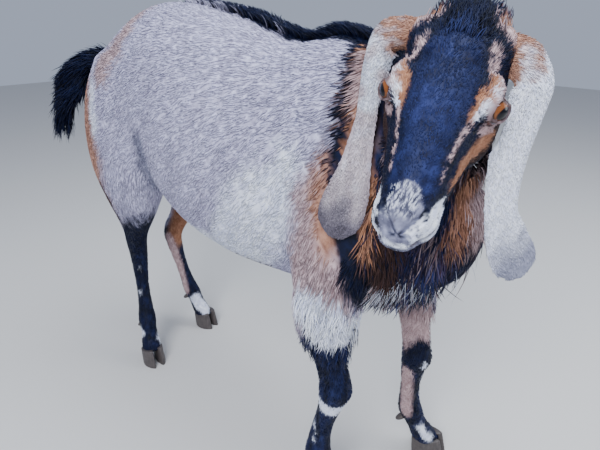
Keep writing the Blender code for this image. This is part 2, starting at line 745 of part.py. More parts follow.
def chest_locks(home, draw):
    """Long hair down the throat, the chest and under the brisket."""
    field = Field(body_flesh)
    along, side, up = neck_axes()
    picks = []
    while len(picks) < CHEST_TRIES:
        a, turn = draw.uniform(-0.10, 0.21), draw.uniform(-1.9, 1.9)
        middle = np.array(NECK_FROM) + along * a
        way = math.sin(turn) * side - math.cos(turn) * up
        picks.append(middle + way * 0.13)
    spots, normals = field.foot(np.array(picks))
    clear = trunk_and_limbs(spots) < 0.004
    front = (spots[:, 1] < 0.012) & (spots[:, 2] > 0.415) & (skull(spots) > 0.018)
    front &= (normals[:, 1] < 0.55) & (normals[:, 2] < 0.35)
    for rows in (EAR_LEFT, EAR_RIGHT):
        for row in rows[2:]:
            front &= np.linalg.norm(spots - np.array(row[:3]), axis=1) > EAR_ROOM
    spots = scatter(spots[clear & front], CHEST_SPACING)
    spots, normals = field.foot(spots)
    made = []
    for order, (spot, normal) in enumerate(zip(spots, normals)):
        low = np.clip((0.66 - spot[2]) / 0.2, 0, 1)
        under = np.clip(-0.35 - normal[2], 0, 0.6)
        length = (CHEST_LOCK[0] + 0.030 * low) * (1.0 - 0.5 * under) * draw.uniform(0.85, 1.15)
        lie = np.array([draw.uniform(-0.25, 0.25), 0.12 + 2.5 * under, -1.0])
        lift = 0.24 + 0.5 * under
        made.append(lock(f"chest_{order}", spot, normal, lie, (length, *CHEST_LOCK[1:]),
                         lift, 0.06, home))
    return made


def fringe_locks(home, draw):
    """A ruff of hair round each forearm below the elbow."""
    field = Field(body_flesh)
    made = []
    for label, x, y, z in (("right", -0.112, 0.021, 0.388), ("left", 0.097, 0.001, 0.388)):
        for ring, (drop, count) in enumerate(((0.0, 8), (0.018, 7))):
            for k in range(count):
                angle = 2 * math.pi * (k + 0.5 * ring) / count
                out = np.array([math.cos(angle), math.sin(angle), 0.0])
                spot, normal = field.foot([np.array([x, y, z - drop]) + out * 0.06])
                size = (FRINGE_LOCK[0] * draw.uniform(0.85, 1.15), *FRINGE_LOCK[1:])
                lie = np.array([draw.uniform(-0.15, 0.15), draw.uniform(-0.1, 0.1), -1.0])
                made.append(lock(f"fringe_{label}_{ring}_{k}", spot[0], normal[0], lie,
                                 size, 0.30, 0.0, home))
    return made


def tail_locks(home, draw):
    """Hair along both sides of the tail and past its end."""
    spots = np.array(TAIL, float)
    along = np.gradient(spots[:, :3], axis=0)
    made = []
    for row in range(2, len(spots)):
        tangent = unit(along[row])
        side = unit(np.cross(tangent, (0.55, -0.2, 0.8)))
        up = np.cross(side, tangent)
        for k, turn in enumerate((0.3, 2.4, 4.5)):
            normal = math.cos(turn) * side + math.sin(turn) * up
            reach = math.hypot(math.cos(turn) * spots[row, 3], math.sin(turn) * spots[row, 4])
            spot = spots[row, :3] + normal * reach * 0.75
            size = (TAIL_LOCK[0] * draw.uniform(0.85, 1.2), *TAIL_LOCK[1:])
            made.append(lock(f"tail_lock_{row}_{k}", spot, normal, tangent, size, 0.10, 0.10, home))
    return made


def crown_locks(home, draw):
    """The short tuft that stands behind the forehead between the ears."""
    field = Field(skull)
    made = []
    for order, (a, b) in enumerate(CROWN_SPOTS):
        spot, normal = field.foot([on_head(a, b, 0.03)])
        lie = -AHEAD + 0.4 * np.sign(b) * LEFT
        size = (CROWN_LOCK[0] * draw.uniform(0.9, 1.2), *CROWN_LOCK[1:])
        made.append(lock(f"crown_{order}", spot[0], normal[0], lie, size, 0.55, 0.0, home))
    return made


def ear(name, rows, out, home):
    """A long leaf, cupped towards the cheek, from slices across it."""
    spots = np.array(rows, float)
    fine = smooth_rows(np.column_stack([np.arange(len(spots)), spots]), EAR_RINGS)[:, 1:]
    path = fine[:, :3]
    along = np.gradient(path, axis=0)
    across_steps = np.linspace(-1, 1, 6)
    rings = []
    for row in range(len(fine)):
        tangent = unit(along[row])
        outward = unit(np.array(out) - (np.array(out) @ tangent) * tangent)
        across = np.cross(tangent, outward)
        width, cup = fine[row, 3], fine[row, 4]
        sideways = across_steps[:, None] * across * width / 2
        front = path[row] + sideways - (across_steps**2)[:, None] * outward * cup
        thick = EAR_THICK * (1.0 - 0.55 * across_steps**2)
        back = front - thick[:, None] * outward
        rings.append(np.concatenate([front, back[::-1]]))
    made = tube(name, rings, home)
    clear_of_flesh(made, EAR_ROOT_RINGS * len(rings[0]), 0.004)
    return made


def clear_of_flesh(item, free_from, room):
    """Push the points past the root out to a small distance from the skin."""
    spots = points_of(item)
    loose = np.arange(len(spots)) >= free_from
    for _ in range(6):
        value = flesh(spots)
        grad = slope(flesh, spots)
        push = np.where(loose & (value < room), room - value, 0.0)
        spots = spots + grad * (push / np.maximum((grad**2).sum(1), 0.2))[:, None]
    set_points(item, spots)


def tail_core(home):
    spots = np.array(TAIL, float)
    table = smooth_rows(np.column_stack([np.arange(len(spots)), spots]), 13)[:, 1:]
    path = table[:, :3]
    along = np.gradient(path, axis=0)
    angle = np.linspace(0, 2 * math.pi, 12, endpoint=False)
    rings = []
    for row in range(len(table)):
        tangent = unit(along[row])
        side = unit(np.cross(tangent, (0.55, -0.2, 0.8)))
        up = np.cross(side, tangent)
        rings.append(path[row] + np.cos(angle)[:, None] * side * table[row, 3]
                     + np.sin(angle)[:, None] * up * table[row, 4])
    return tube("tail", rings, home)


def foot_axes(foot):
    turn = math.radians(FEET[foot][1])
    ahead = np.array([math.sin(turn), -math.cos(turn), 0.0])
    side = np.array([math.cos(turn), math.sin(turn), 0.0])
    return ahead, side


def claw(name, foot, hand, home):
    """One half of a cloven hoof: flat sole, sloping toe, flat inner wall."""
    (cx, cy), _, length = FEET[foot]
    ahead, side = foot_axes(foot)
    rings = []
    steps = 14
    for level in (0.0, 0.3, 0.7, 1.0):
        ring = []
        for k in range(steps):
            angle = 2 * math.pi * k / steps
            fore, out = math.cos(angle), math.sin(angle)
            place = fore * length / 2 * (1 - 0.12 * level) - 0.007 * level
            wide = CLAW_HALF * (1 - 0.08 * level) * (1 - 0.30 * max(fore, 0) ** 2)
            rim = CORONET + CORONET_RISE * place / length - GAP / 2
            middle = np.array([cx, cy, 0.0]) + side * hand * (CLAW_APART - 0.003 * max(fore, 0))
            spot = middle + ahead * place + side * out * wide
            ring.append([spot[0], spot[1], level * rim])
        rings.append(np.array(ring))
    return tube(name, rings, home)


def coronet_cut(foot, home):
    (cx, cy), _, length = FEET[foot]
    ahead, _ = foot_axes(foot)
    face = np.array([0, 0, 1.0]) - ahead * CORONET_RISE / length
    return slab((cx, cy, CORONET), face, 0.045, 0.050, home)


def ball(name, centre, radius, home, segments=20, rings=12):
    bpy.ops.mesh.primitive_uv_sphere_add(segments=segments, ring_count=rings, radius=radius)
    made = bpy.context.object
    for owner in list(made.users_collection):
        owner.objects.unlink(made)
    home.objects.link(made)
    made.name = name
    made.data.name = name
    set_points(made, points_of(made) + np.array(centre))
    return made


def name_pieces(pieces):
    """Give each piece the name whose middle it holds nearest to its own."""
    middles = {}
    for piece in pieces:
        spots = points_of(piece)
        middles[piece.name] = (spots.min(0) + spots.max(0)) / 2
    kept = {}
    for name, middle in MIDDLES.items():
        free = [p for p in pieces if p.name not in kept.values()]
        best = min(free, key=lambda p: np.linalg.norm(middles[p.name] - np.array(middle)))
        kept[name] = best.name
    found = {name: bpy.data.objects[old] for name, old in kept.items()}
    for piece in pieces:
        if piece not in found.values():
            bpy.data.objects.remove(piece, do_unlink=True)
    for name, piece in found.items():
        piece.name = name
        piece.data.name = name
    return found


def part_nodes(body, home, work):
    """Thin cuts leave one closed piece for every named node of the body."""
    sheets = [slab(*cut, work) for cut in PARTINGS.values()]
    sheets += [coronet_cut(foot, work) for foot in FEET]
    combine(body, sheets, "DIFFERENCE")
    tidy(body)
    pieces = []
    for piece in loose_parts(body, home):
        spots = points_of(piece)
        if spots[:, 2].max() < CORONET + CORONET_RISE or len(spots) < 60:
            bpy.data.objects.remove(piece, do_unlink=True)
        else:
            pieces.append(piece)
    return name_pieces(pieces)


def eye_axes(s):
    """Outward axis of an eye, with the ways along and across its opening."""
    ahead, out, up = EYE_LOOKS
    axis = unit(ahead * AHEAD + s * out * LEFT + up * RISE)
    tilt = math.radians(EYE_TILT)
    wide = unit(AHEAD - (AHEAD @ axis) * axis)
    high = np.cross(axis, wide) * s
    along = math.cos(tilt) * wide - math.sin(tilt) * high
    return axis, along, math.sin(tilt) * wide + math.cos(tilt) * high


def lid_ring(name, s, home):
    """Both lids as one rolled rim that lies on the eyeball round its opening."""
    a, b, c = EYE_AT
    centre = on_head(a, s * b, c)
    axis, wide, high = eye_axes(s)
    steps, points = 22, 6
    rings = []
    for k in range(steps):
        turn = 2 * math.pi * k / steps
        bulge = 1.0 if math.sin(turn) > 0 else 0.75
        x = math.cos(turn) * math.tan(math.radians(LID_WIDE))
        y = math.sin(turn) * math.tan(math.radians(LID_HIGH))
        way = unit(axis + x * wide + y * high)
        middle = centre + way * (EYE_RADIUS + 0.0006)
        out = unit(way - (way @ axis) * axis)
        ring = []
        for j in range(points):
            roll = 2 * math.pi * j / points
            rim = 1.25 * math.cos(roll) * out + math.sin(roll) * way
            ring.append(middle + LID_THICK * bulge * rim)
        rings.append(np.array(ring))
    verts = np.concatenate(rings)
    faces = []
    for i in range(steps):
        for j in range(points):
            a0, a1 = i * points + j, i * points + (j + 1) % points
            b0, b1 = (i + 1) % steps * points + j, (i + 1) % steps * points + (j + 1) % points
            faces.append((a0, a1, b1, b0))
    mesh = bpy.data.meshes.new(name)
    mesh.from_pydata([tuple(v) for v in verts], [], faces)
    item = bpy.data.objects.new(name, mesh)
    home.objects.link(item)
    face_out(item)
    return item


def add_eyes(head, home, work):
    """Lids on the head, then eyeballs in sockets that clear them by the gap."""
    combine(head, [lid_ring("lid_left", 1, work), lid_ring("lid_right", -1, work)], "UNION")
    tidy(head)
    sockets = []
    a, b, c = EYE_AT
    for name, s in (("eye_left", 1), ("eye_right", -1)):
        centre = on_head(a, s * b, c)
        ball(name, centre, EYE_RADIUS, home, 16, 10)
        sockets.append(ball("socket", centre, EYE_RADIUS + GAP * ROUND_ROOM, work, 16, 10))
    combine(head, sockets, "DIFFERENCE")
    tidy(head)
    return keep_largest(head, home)


def cut_mouth_and_nostrils(head, work):
    """A groove for the mouth line and a comma-shaped pit for each nostril."""
    field = Field(skull)
    rings = []
    for b in np.linspace(-1, 1, 17):
        place = MOUTH_FRONT + (MOUTH_CORNER - MOUTH_FRONT) * abs(b) ** 2.2
        spot, normal = field.foot([on_head(place[0], MOUTH_SPAN * b, place[1])])
        rings.append((spot[0], normal[0]))
    along = np.gradient(np.array([spot for spot, _ in rings]), axis=0)
    sections = []
    for (spot, normal), tangent in zip(rings, along):
        across = unit(np.cross(normal, tangent))
        sections.append(groove(spot, normal, across * MOUTH_OPEN, MOUTH_DEEP))
    cuts = [tube("mouth_cut", sections, work)]
    for s in (1, -1):
        top = on_head(*NOSTRIL_TOP * np.array([1, s, 1]))
        low = on_head(*NOSTRIL_LOW * np.array([1, s, 1]))
        sections = []
        for t in np.linspace(0, 1, 6):
            spot, normal = field.foot([top * (1 - t) + low * t])
            across = unit(np.cross(normal[0], low - top))
            wide = 0.0012 + 0.0030 * math.sin(math.pi * (0.15 + 0.7 * t))
            sections.append(groove(spot[0], normal[0], across * wide, NOSTRIL_DEEP))
        cuts.append(tube(f"nostril_cut_{s}", sections, work))
    combine(head, cuts, "DIFFERENCE")
    tidy(head)


def groove(spot, normal, half, deep):
    """One diamond section of a cut: its sides, its top and its floor."""
    return np.array([spot + half, spot + normal * 0.002, spot - half, spot - normal * deep])


def dewclaw(name, base, way, grow, home):
    """A short blunt horn cone, or the socket that clears it when grown."""
    across = unit(np.cross(way, (0, 0, 1)))
    up = np.cross(across, way)
    angle = np.linspace(0, 2 * math.pi, 8, endpoint=False)
    rings = []
    for t, swell in ((-0.004, 0.85), (0.004, 1.0), (0.009, 0.85), (0.013, 0.45)):
        t = t - grow if t < 0 else t + grow
        radius = DEWCLAW_SIZE * swell + grow
        rings.append(base + way * t + np.cos(angle)[:, None] * across * radius
                     + np.sin(angle)[:, None] * up * radius * 0.8)
    return tube(name, rings, home)


def add_dewclaws(nodes, home, work):
    """Two dewclaws behind every fetlock, each set in a socket."""
    for foot, (height, x, y) in FETLOCKS.items():
        ahead, side = foot_axes(foot)
        leg = nodes[foot + "_lower"]
        sockets = []
        for hand, label in ((1, "left"), (-1, "right")):
            base = np.array([x, y, height]) + side * hand * DEWCLAW_APART - ahead * DEWCLAW_BACK
            way = unit(-ahead * 0.75 + side * hand * 0.30 + np.array([0, 0, -0.60]))
            dewclaw(f"dewclaw_{foot}_{label}", base, way, 0.0, home)
            sockets.append(dewclaw("socket", base, way, GAP * 1.3, work))
        combine(leg, sockets, "DIFFERENCE")
        tidy(leg)


def colour_nodes(home):
    """Every node has its own material, in the colour most of it has."""
    for item in home.objects:
        colour, rough = next(look for start, look in COLOURS if item.name.startswith(start))
        item.data.materials.clear()
        item.data.materials.append(material(item.name + "_surface", colour, rough))
        flat = np.zeros(len(item.data.polygons), dtype=np.int32)
        item.data.polygons.foreach_set("material_index", flat)


def stand_on_floor(home):
    """Middle of the whole goat's box over the origin, each node on its own middle."""
    stand = bpy.data.objects.new(NAME, None)
    home.objects.link(stand)
    nodes = [item for item in home.objects if item.type == "MESH"]
    spots = np.concatenate([points_of(item) for item in nodes])
    low, high = spots.min(0), spots.max(0)
    shift = np.array([-(low[0] + high[0]) / 2, -(low[1] + high[1]) / 2, -low[2]])
    for item in nodes:
        own = points_of(item)
        middle = (own.min(0) + own.max(0)) / 2
        set_points(item, own - middle)
        item.location = middle + shift
        item.parent = stand
    print("shift", [round(float(v), 5) for v in shift])


def main():
    clear_scene()
    parts = collection(NAME)
    work = collection("cutters")
    work.hide_render = True
    draw = random.Random(SEED)
    head = build_head(parts)
    combine(head, crown_locks(work, draw), "UNION")
    tidy(head)
    body = build_body(work)
    locks = ridge_locks(work, draw) + chest_locks(work, draw) + fringe_locks(work, draw)
    print("locks on the body", len(locks))
    combine(body, locks, "UNION")
    tidy(body)
    combine(body, [swollen_copy(head, work)], "DIFFERENCE")
    tidy(body)
    nodes = part_nodes(body, parts, work)
    for name, rows, faces in (("ear_left", EAR_LEFT, EAR_LEFT_FACES),
                              ("ear_right", EAR_RIGHT, EAR_RIGHT_FACES)):
        leaf = ear(name, rows, faces, parts)
        cut_clear(leaf, [head], parts, work)
    tail = tail_core(parts)
    combine(tail, tail_locks(work, draw), "UNION")
    tidy(tail)
    cut_clear(tail, [nodes["torso"]], parts, work)
    cut_mouth_and_nostrils(head, work)
    head = add_eyes(head, parts, work)
    add_dewclaws(nodes, parts, work)
    for foot in FEET:
        for hand, label in ((1, "left"), (-1, "right")):
            claw(f"claw_{foot}_{label}", foot, hand, parts)
    colour_nodes(parts)
    stand_on_floor(parts)
    total = 0
    for item in [item for item in parts.objects if item.type == "MESH"]:
        count = sum(len(f.vertices) - 2 for f in item.data.polygons)
        total += count
        print(item.name, count)
    print("triangles", total)


main()
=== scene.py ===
# %% [markdown]
# # A young nubian buck, life size
# The real animal stands square with its head turned back over its right
# shoulder.  Under the coat it is one smooth skin; over that lie tens of
# thousands of short tufts.  The solid model is loaded first and stays as it
# is: every piece made here is laid over it.

# %% The solid model and its box
import json
import math
import bpy
import bmesh
import numpy as np
from mathutils import Matrix, Vector

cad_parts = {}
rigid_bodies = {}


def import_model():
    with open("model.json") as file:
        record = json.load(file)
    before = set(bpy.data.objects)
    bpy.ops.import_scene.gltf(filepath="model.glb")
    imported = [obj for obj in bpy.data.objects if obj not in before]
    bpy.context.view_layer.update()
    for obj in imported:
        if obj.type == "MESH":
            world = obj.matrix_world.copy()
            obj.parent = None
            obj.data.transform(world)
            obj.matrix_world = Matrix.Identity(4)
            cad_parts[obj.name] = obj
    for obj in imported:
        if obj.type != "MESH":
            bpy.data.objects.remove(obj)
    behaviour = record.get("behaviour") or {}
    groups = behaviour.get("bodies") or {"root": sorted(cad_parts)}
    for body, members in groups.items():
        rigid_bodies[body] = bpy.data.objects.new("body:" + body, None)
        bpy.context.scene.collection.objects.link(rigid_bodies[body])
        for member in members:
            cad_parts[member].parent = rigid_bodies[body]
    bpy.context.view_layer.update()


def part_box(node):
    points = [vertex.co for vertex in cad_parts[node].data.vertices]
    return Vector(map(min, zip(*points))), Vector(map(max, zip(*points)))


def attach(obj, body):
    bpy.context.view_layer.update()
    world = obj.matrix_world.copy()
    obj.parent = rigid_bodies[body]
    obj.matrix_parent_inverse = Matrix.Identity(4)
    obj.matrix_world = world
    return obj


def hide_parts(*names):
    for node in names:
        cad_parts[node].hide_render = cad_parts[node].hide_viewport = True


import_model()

HASTE = 1.0      # share of the tufts in a hurried render
rng = np.random.default_rng(7)

# %% [markdown]
# ## The animal's own sizes
# A body is easiest to describe as a few long limbs with oval slices.  Each
# row below is one slice.  The same numbers drive the solid model, so that the
# skin made here lies just inside it.

# %% Slices of the trunk, neck and head
# Along the trunk: place, top, bottom, half width, side shift.
TRUNK = [
    (-0.108, 0.63, 0.488, 0.068, 0), (-0.065, 0.705, 0.438, 0.101, 0), (0, 0.766, 0.416, 0.118, 0),
    (0.08, 0.804, 0.408, 0.13, 0), (0.17, 0.797, 0.402, 0.15, 0), (0.28, 0.823, 0.398, 0.168, 0),
    (0.38, 0.842, 0.414, 0.166, -0.003), (0.46, 0.85, 0.448, 0.15, -0.006),
    (0.55, 0.846, 0.49, 0.132, -0.01), (0.63, 0.812, 0.53, 0.118, -0.013), (0.7, 0.762, 0.56, 0.098, -0.016),
    (0.745, 0.718, 0.6, 0.068, -0.018),
]
# Up the neck: place, back half, throat half, half width.
NECK_FROM, NECK_TO = (0.000, 0.060, 0.640), (-0.055, -0.115, 0.775)
NECK = [
    (-0.03, 0.13, 0.2, 0.09), (0.04, 0.132, 0.182, 0.103), (0.1, 0.11, 0.142, 0.091),
    (0.15, 0.09, 0.112, 0.074), (0.19, 0.076, 0.088, 0.06), (0.22, 0.052, 0.066, 0.046),
]
# Along the head from the poll to the nose: place, top, bottom, half width.
POLL = np.array((-0.067, -0.120, 0.829))
HEAD_TURN, HEAD_DIP, HEAD_TILT = 75.0, 42.1, -10.1
HEAD = [
    (-0.03, -0.004, -0.085, 0.046), (0, 0.006, -0.1, 0.054), (0.03, 0.011, -0.108, 0.057),
    (0.06, 0.015, -0.112, 0.058), (0.09, 0.018, -0.109, 0.055), (0.12, 0.018, -0.1, 0.047),
    (0.15, 0.014, -0.09, 0.041), (0.18, 0.006, -0.08, 0.035), (0.205, -0.004, -0.074, 0.03),
    (0.225, -0.013, -0.067, 0.027), (0.236, -0.024, -0.06, 0.02),
]
EYE_AT, EYE_RADIUS, EYE_LOOKS = (0.091, 0.0475, -0.018), 0.0160, (0.45, 0.80, 0.40)
# %% Slices of the legs: half width, front half and back half, then height, side and place
FORE_HALVES = [
    (0.04, 0.07, 0.075), (0.05, 0.085, 0.09), (0.05, 0.08, 0.085), (0.043, 0.058, 0.062),
    (0.035, 0.04, 0.046), (0.027, 0.029, 0.032), (0.026, 0.028, 0.026), (0.029, 0.031, 0.026),
    (0.023, 0.024, 0.022), (0.0175, 0.018, 0.021), (0.019, 0.02, 0.024), (0.0225, 0.023, 0.027),
    (0.02, 0.021, 0.025), (0.023, 0.026, 0.028), (0.025, 0.028, 0.03),
]
SHIN_HALVES = [
    (0.026, 0.04, 0.038), (0.023, 0.036, 0.035), (0.0225, 0.031, 0.03), (0.02, 0.026, 0.024),
    (0.0165, 0.018, 0.02), (0.018, 0.019, 0.022), (0.0215, 0.022, 0.026), (0.019, 0.02, 0.023),
    (0.022, 0.024, 0.026), (0.0235, 0.026, 0.028),
]
HALVES = {
    "foreleg_right": FORE_HALVES,
    "foreleg_left": FORE_HALVES,
    "hindleg_right": [
        (0.05, 0.08, 0.105), (0.062, 0.11, 0.15), (0.062, 0.11, 0.165), (0.055, 0.098, 0.142),
        (0.044, 0.074, 0.098), (0.034, 0.054, 0.056),
    ] + SHIN_HALVES,
    "hindleg_left": [
        (0.05, 0.08, 0.105), (0.062, 0.11, 0.148), (0.062, 0.108, 0.16), (0.055, 0.096, 0.136),
        (0.044, 0.074, 0.092), (0.034, 0.054, 0.054),
    ] + SHIN_HALVES,
}
LEG_LINES = {
    "foreleg_right": [
        (0.68, -0.078, 0.045), (0.6, -0.092, 0.02), (0.53, -0.102, 0.012), (0.465, -0.11, 0.02),
        (0.41, -0.112, 0.022), (0.35, -0.107, 0.016), (0.31, -0.102, 0.011), (0.283, -0.1, 0.01),
        (0.25, -0.098, 0.018), (0.19, -0.095, 0.035), (0.145, -0.093, 0.044), (0.118, -0.093, 0.046),
        (0.085, -0.095, 0.032), (0.058, -0.097, 0.018), (0.03, -0.098, 0.01),
    ],
    "foreleg_left": [
        (0.68, 0.074, 0.045), (0.6, 0.088, 0.018), (0.53, 0.096, 0.008), (0.465, 0.1, 0.01),
        (0.4, 0.098, 0.004), (0.34, 0.09, -0.012), (0.295, 0.085, -0.022), (0.265, 0.084, -0.025),
        (0.235, 0.087, -0.02), (0.18, 0.097, -0.015), (0.14, 0.105, -0.013), (0.115, 0.111, -0.014),
        (0.085, 0.122, -0.021), (0.058, 0.135, -0.03), (0.03, 0.144, -0.036),
    ],
    "hindleg_right": [
        (0.74, -0.07, 0.6), (0.66, -0.088, 0.59), (0.57, -0.098, 0.585), (0.5, -0.102, 0.588),
        (0.44, -0.098, 0.603), (0.39, -0.088, 0.63), (0.345, -0.077, 0.66), (0.308, -0.068, 0.682),
        (0.28, -0.063, 0.69), (0.245, -0.065, 0.686), (0.19, -0.072, 0.672), (0.14, -0.079, 0.657),
        (0.108, -0.084, 0.648), (0.08, -0.089, 0.636), (0.056, -0.093, 0.627), (0.03, -0.097, 0.62),
    ],
    "hindleg_left": [
        (0.74, 0.048, 0.6), (0.66, 0.066, 0.592), (0.57, 0.078, 0.59), (0.5, 0.082, 0.595),
        (0.44, 0.078, 0.615), (0.39, 0.068, 0.645), (0.345, 0.058, 0.675), (0.31, 0.05, 0.697),
        (0.285, 0.047, 0.704), (0.25, 0.05, 0.702), (0.195, 0.058, 0.693), (0.145, 0.067, 0.684),
        (0.113, 0.074, 0.678), (0.082, 0.081, 0.67), (0.056, 0.088, 0.664), (0.03, 0.094, 0.659),
    ],
}
LEGS = {leg: [place + halves for place, halves in zip(line, HALVES[leg])]
        for leg, line in LEG_LINES.items()}
# Claws: middle, toe direction in degrees to the left, length; then the dewclaws' middle.
FEET = {
    "foreleg_right": ((-0.099, 0.000), -4.0, 0.064, (0.096, -0.0945, 0.0370)),
    "foreleg_left": ((0.148, -0.044), 18.0, 0.064, (0.094, 0.1180, -0.0180)),
    "hindleg_right": ((-0.098, 0.610), -6.0, 0.058, (0.090, -0.0875, 0.6400)),
    "hindleg_left": ((0.097, 0.650), 10.0, 0.058, (0.092, 0.0785, 0.6720)),
}
CORONET, CORONET_RISE = 0.043, 0.010
# Ears and tail: place, width and cup depth, or half width and half thickness.
EARS = {
    "left": ([
        (-0.067, -0.15, 0.797, 0.038, 0.007), (-0.057, -0.175, 0.795, 0.046, 0.01),
        (-0.048, -0.194, 0.786, 0.053, 0.015), (-0.043, -0.205, 0.766, 0.056, 0.018),
        (-0.047, -0.201, 0.733, 0.061, 0.019), (-0.052, -0.196, 0.695, 0.06, 0.018),
        (-0.054, -0.194, 0.655, 0.057, 0.015), (-0.053, -0.195, 0.62, 0.059, 0.01),
        (-0.047, -0.201, 0.588, 0.069, 0.003), (-0.041, -0.207, 0.563, 0.062, -0.004),
        (-0.04, -0.208, 0.545, 0.022, -0.002),
    ], (-0.30, -0.95, 0.0)),
    "right": ([
        (-0.086, -0.08, 0.811, 0.034, 0.007), (-0.103, -0.062, 0.813, 0.038, 0.01),
        (-0.115, -0.049, 0.807, 0.039, 0.014), (-0.122, -0.041, 0.784, 0.035, 0.016),
        (-0.125, -0.037, 0.747, 0.032, 0.015), (-0.127, -0.034, 0.708, 0.032, 0.015),
        (-0.132, -0.03, 0.668, 0.04, 0.014), (-0.138, -0.026, 0.634, 0.054, 0.01),
        (-0.142, -0.021, 0.605, 0.062, 0.003), (-0.144, -0.019, 0.588, 0.054, -0.003),
        (-0.145, -0.018, 0.573, 0.022, -0.002),
    ], (-0.98, -0.18, 0.0)),
}
EAR_THICK = 0.0055
TAIL = [
    (-0.02, 0.69, 0.712, 0.02, 0.018), (-0.035, 0.722, 0.728, 0.021, 0.018),
    (-0.055, 0.752, 0.734, 0.024, 0.017), (-0.08, 0.778, 0.722, 0.029, 0.015),
    (-0.104, 0.796, 0.692, 0.03, 0.013), (-0.122, 0.808, 0.655, 0.025, 0.011),
    (-0.132, 0.816, 0.616, 0.015, 0.007),
]
print("slices:", len(TRUNK), "trunk,", len(NECK), "neck,", len(HEAD), "head,",
      sum(len(rows) for rows in LEGS.values()), "legs")

# %% [markdown]
# ## Distances instead of faces
# Joining limbs by hand leaves seams.  A cleaner way is a distance field: a
# function that says how far any point is from the skin.  Two fields are joined
# with a rounded minimum, which makes the soft fillet of a shoulder or a throat
# by itself.

# %% Smooth tables and limbs
def unit(vectors):
    """Each vector divided by its own length."""
    vectors = np.asarray(vectors, float)
    return vectors / np.maximum(np.linalg.norm(vectors, axis=-1, keepdims=True), 1e-9)


def smooth_rows(rows, count=160):
    """Cubic Hermite curve through the rows: value and slope are kept at every knot."""
    rows = np.array(rows, float)
    rows = rows[np.argsort(rows[:, 0])]
    knots = rows[:, 0]
    slopes = np.gradient(rows, knots, axis=0)
    fine = np.linspace(knots[0], knots[-1], count)
    left = np.clip(np.searchsorted(knots, fine) - 1, 0, len(knots) - 2)
    width = (knots[left + 1] - knots[left])[:, None]
    t = (fine - knots[left])[:, None] / width
    start = (2 * t**3 - 3 * t**2 + 1) * rows[left] + (t**3 - 2 * t**2 + t) * width * slopes[left]
    end = (3 * t**2 - 2 * t**3) * rows[left + 1] + (t**3 - t**2) * width * slopes[left + 1]
    table = start + end
    table[:, 0] = fine
    return table


def oval_distance(local, halves):
    """(|p / halves| - 1) times the length of p over |p / halves|: about the real distance."""
    ratio = np.sqrt(((local / halves) ** 2).sum(1))
    reach = np.sqrt((local**2).sum(1))
    scale = np.where(ratio > 1e-3, reach / np.maximum(ratio, 1e-3), np.min(halves, axis=-1))
    return (ratio - 1.0) * scale


class Limb:
    """Oval slices square to a straight line, each with its own shift and halves."""

    def __init__(self, origin, along, side, up, slices, cap):
        self.origin = np.array(origin, float)
        self.axes = np.array([along, side, up], float)
        self.table = smooth_rows(slices)
        self.cap = cap

    def at(self, column, place):
        return np.interp(place, self.table[:, 0], self.table[:, column])

    def local(self, points):
        return (points - self.origin) @ self.axes.T

    def distance(self, points):
        local = self.local(points)
        place = np.clip(local[:, 0], self.table[0, 0], self.table[-1, 0])
        past = local[:, 0] - place
        side = local[:, 1] - self.at(1, place)
        rise = local[:, 2] - self.at(2, place)
        high = np.where(rise > 0, self.at(4, place), self.at(5, place))
        halves = np.stack([np.full(len(place), self.cap), self.at(3, place), high], 1)
        return oval_distance(np.stack([past, side, rise], 1), halves)

    def round_it(self, points):
        """Place from 0 to 1 along the limb and turn from 0 to 1 round it."""
        local = self.local(points)
        first, last = self.table[0, 0], self.table[-1, 0]
        place = np.clip(local[:, 0], first, last)
        turn = np.arctan2(local[:, 2] - self.at(2, place), local[:, 1] - self.at(1, place))
        return np.clip((local[:, 0] - first) / (last - first), 0, 1), turn / (2 * math.pi) + 0.5

    def grid(self, rings=40, points=28):
        """Ring by ring: middle + side half cos(angle) + upper or lower half sin(angle)."""
        place = np.linspace(self.table[0, 0], self.table[-1, 0], rings)[:, None]
        angle = np.linspace(0, 2 * math.pi, points, endpoint=False)[None, :]
        high = np.where(np.sin(angle) > 0, self.at(4, place), self.at(5, place))
        local = np.stack([place + 0 * angle, self.at(1, place) + np.cos(angle) * self.at(3, place),
                          self.at(2, place) + np.sin(angle) * high], -1)
        return self.origin + local @ self.axes


def head_axes():
    """Ahead, left and up of the head from its turn, dip and tilt."""
    turn, dip, tilt = np.radians([HEAD_TURN, HEAD_DIP, HEAD_TILT])
    ahead = np.array([-math.sin(turn) * math.cos(dip), -math.cos(turn) * math.cos(dip), -math.sin(dip)])
    left = np.array([math.cos(turn), -math.sin(turn), 0.0])
    up = np.cross(ahead, left)
    up *= np.sign(up[2])
    return ahead, math.cos(tilt) * left + math.sin(tilt) * up, -math.sin(tilt) * left + math.cos(tilt) * up


AHEAD, LEFT, RISE = head_axes()
HEAD_AXES = np.array([AHEAD, LEFT, RISE])


def on_head(a, b, c):
    return POLL + a * AHEAD + b * LEFT + c * RISE


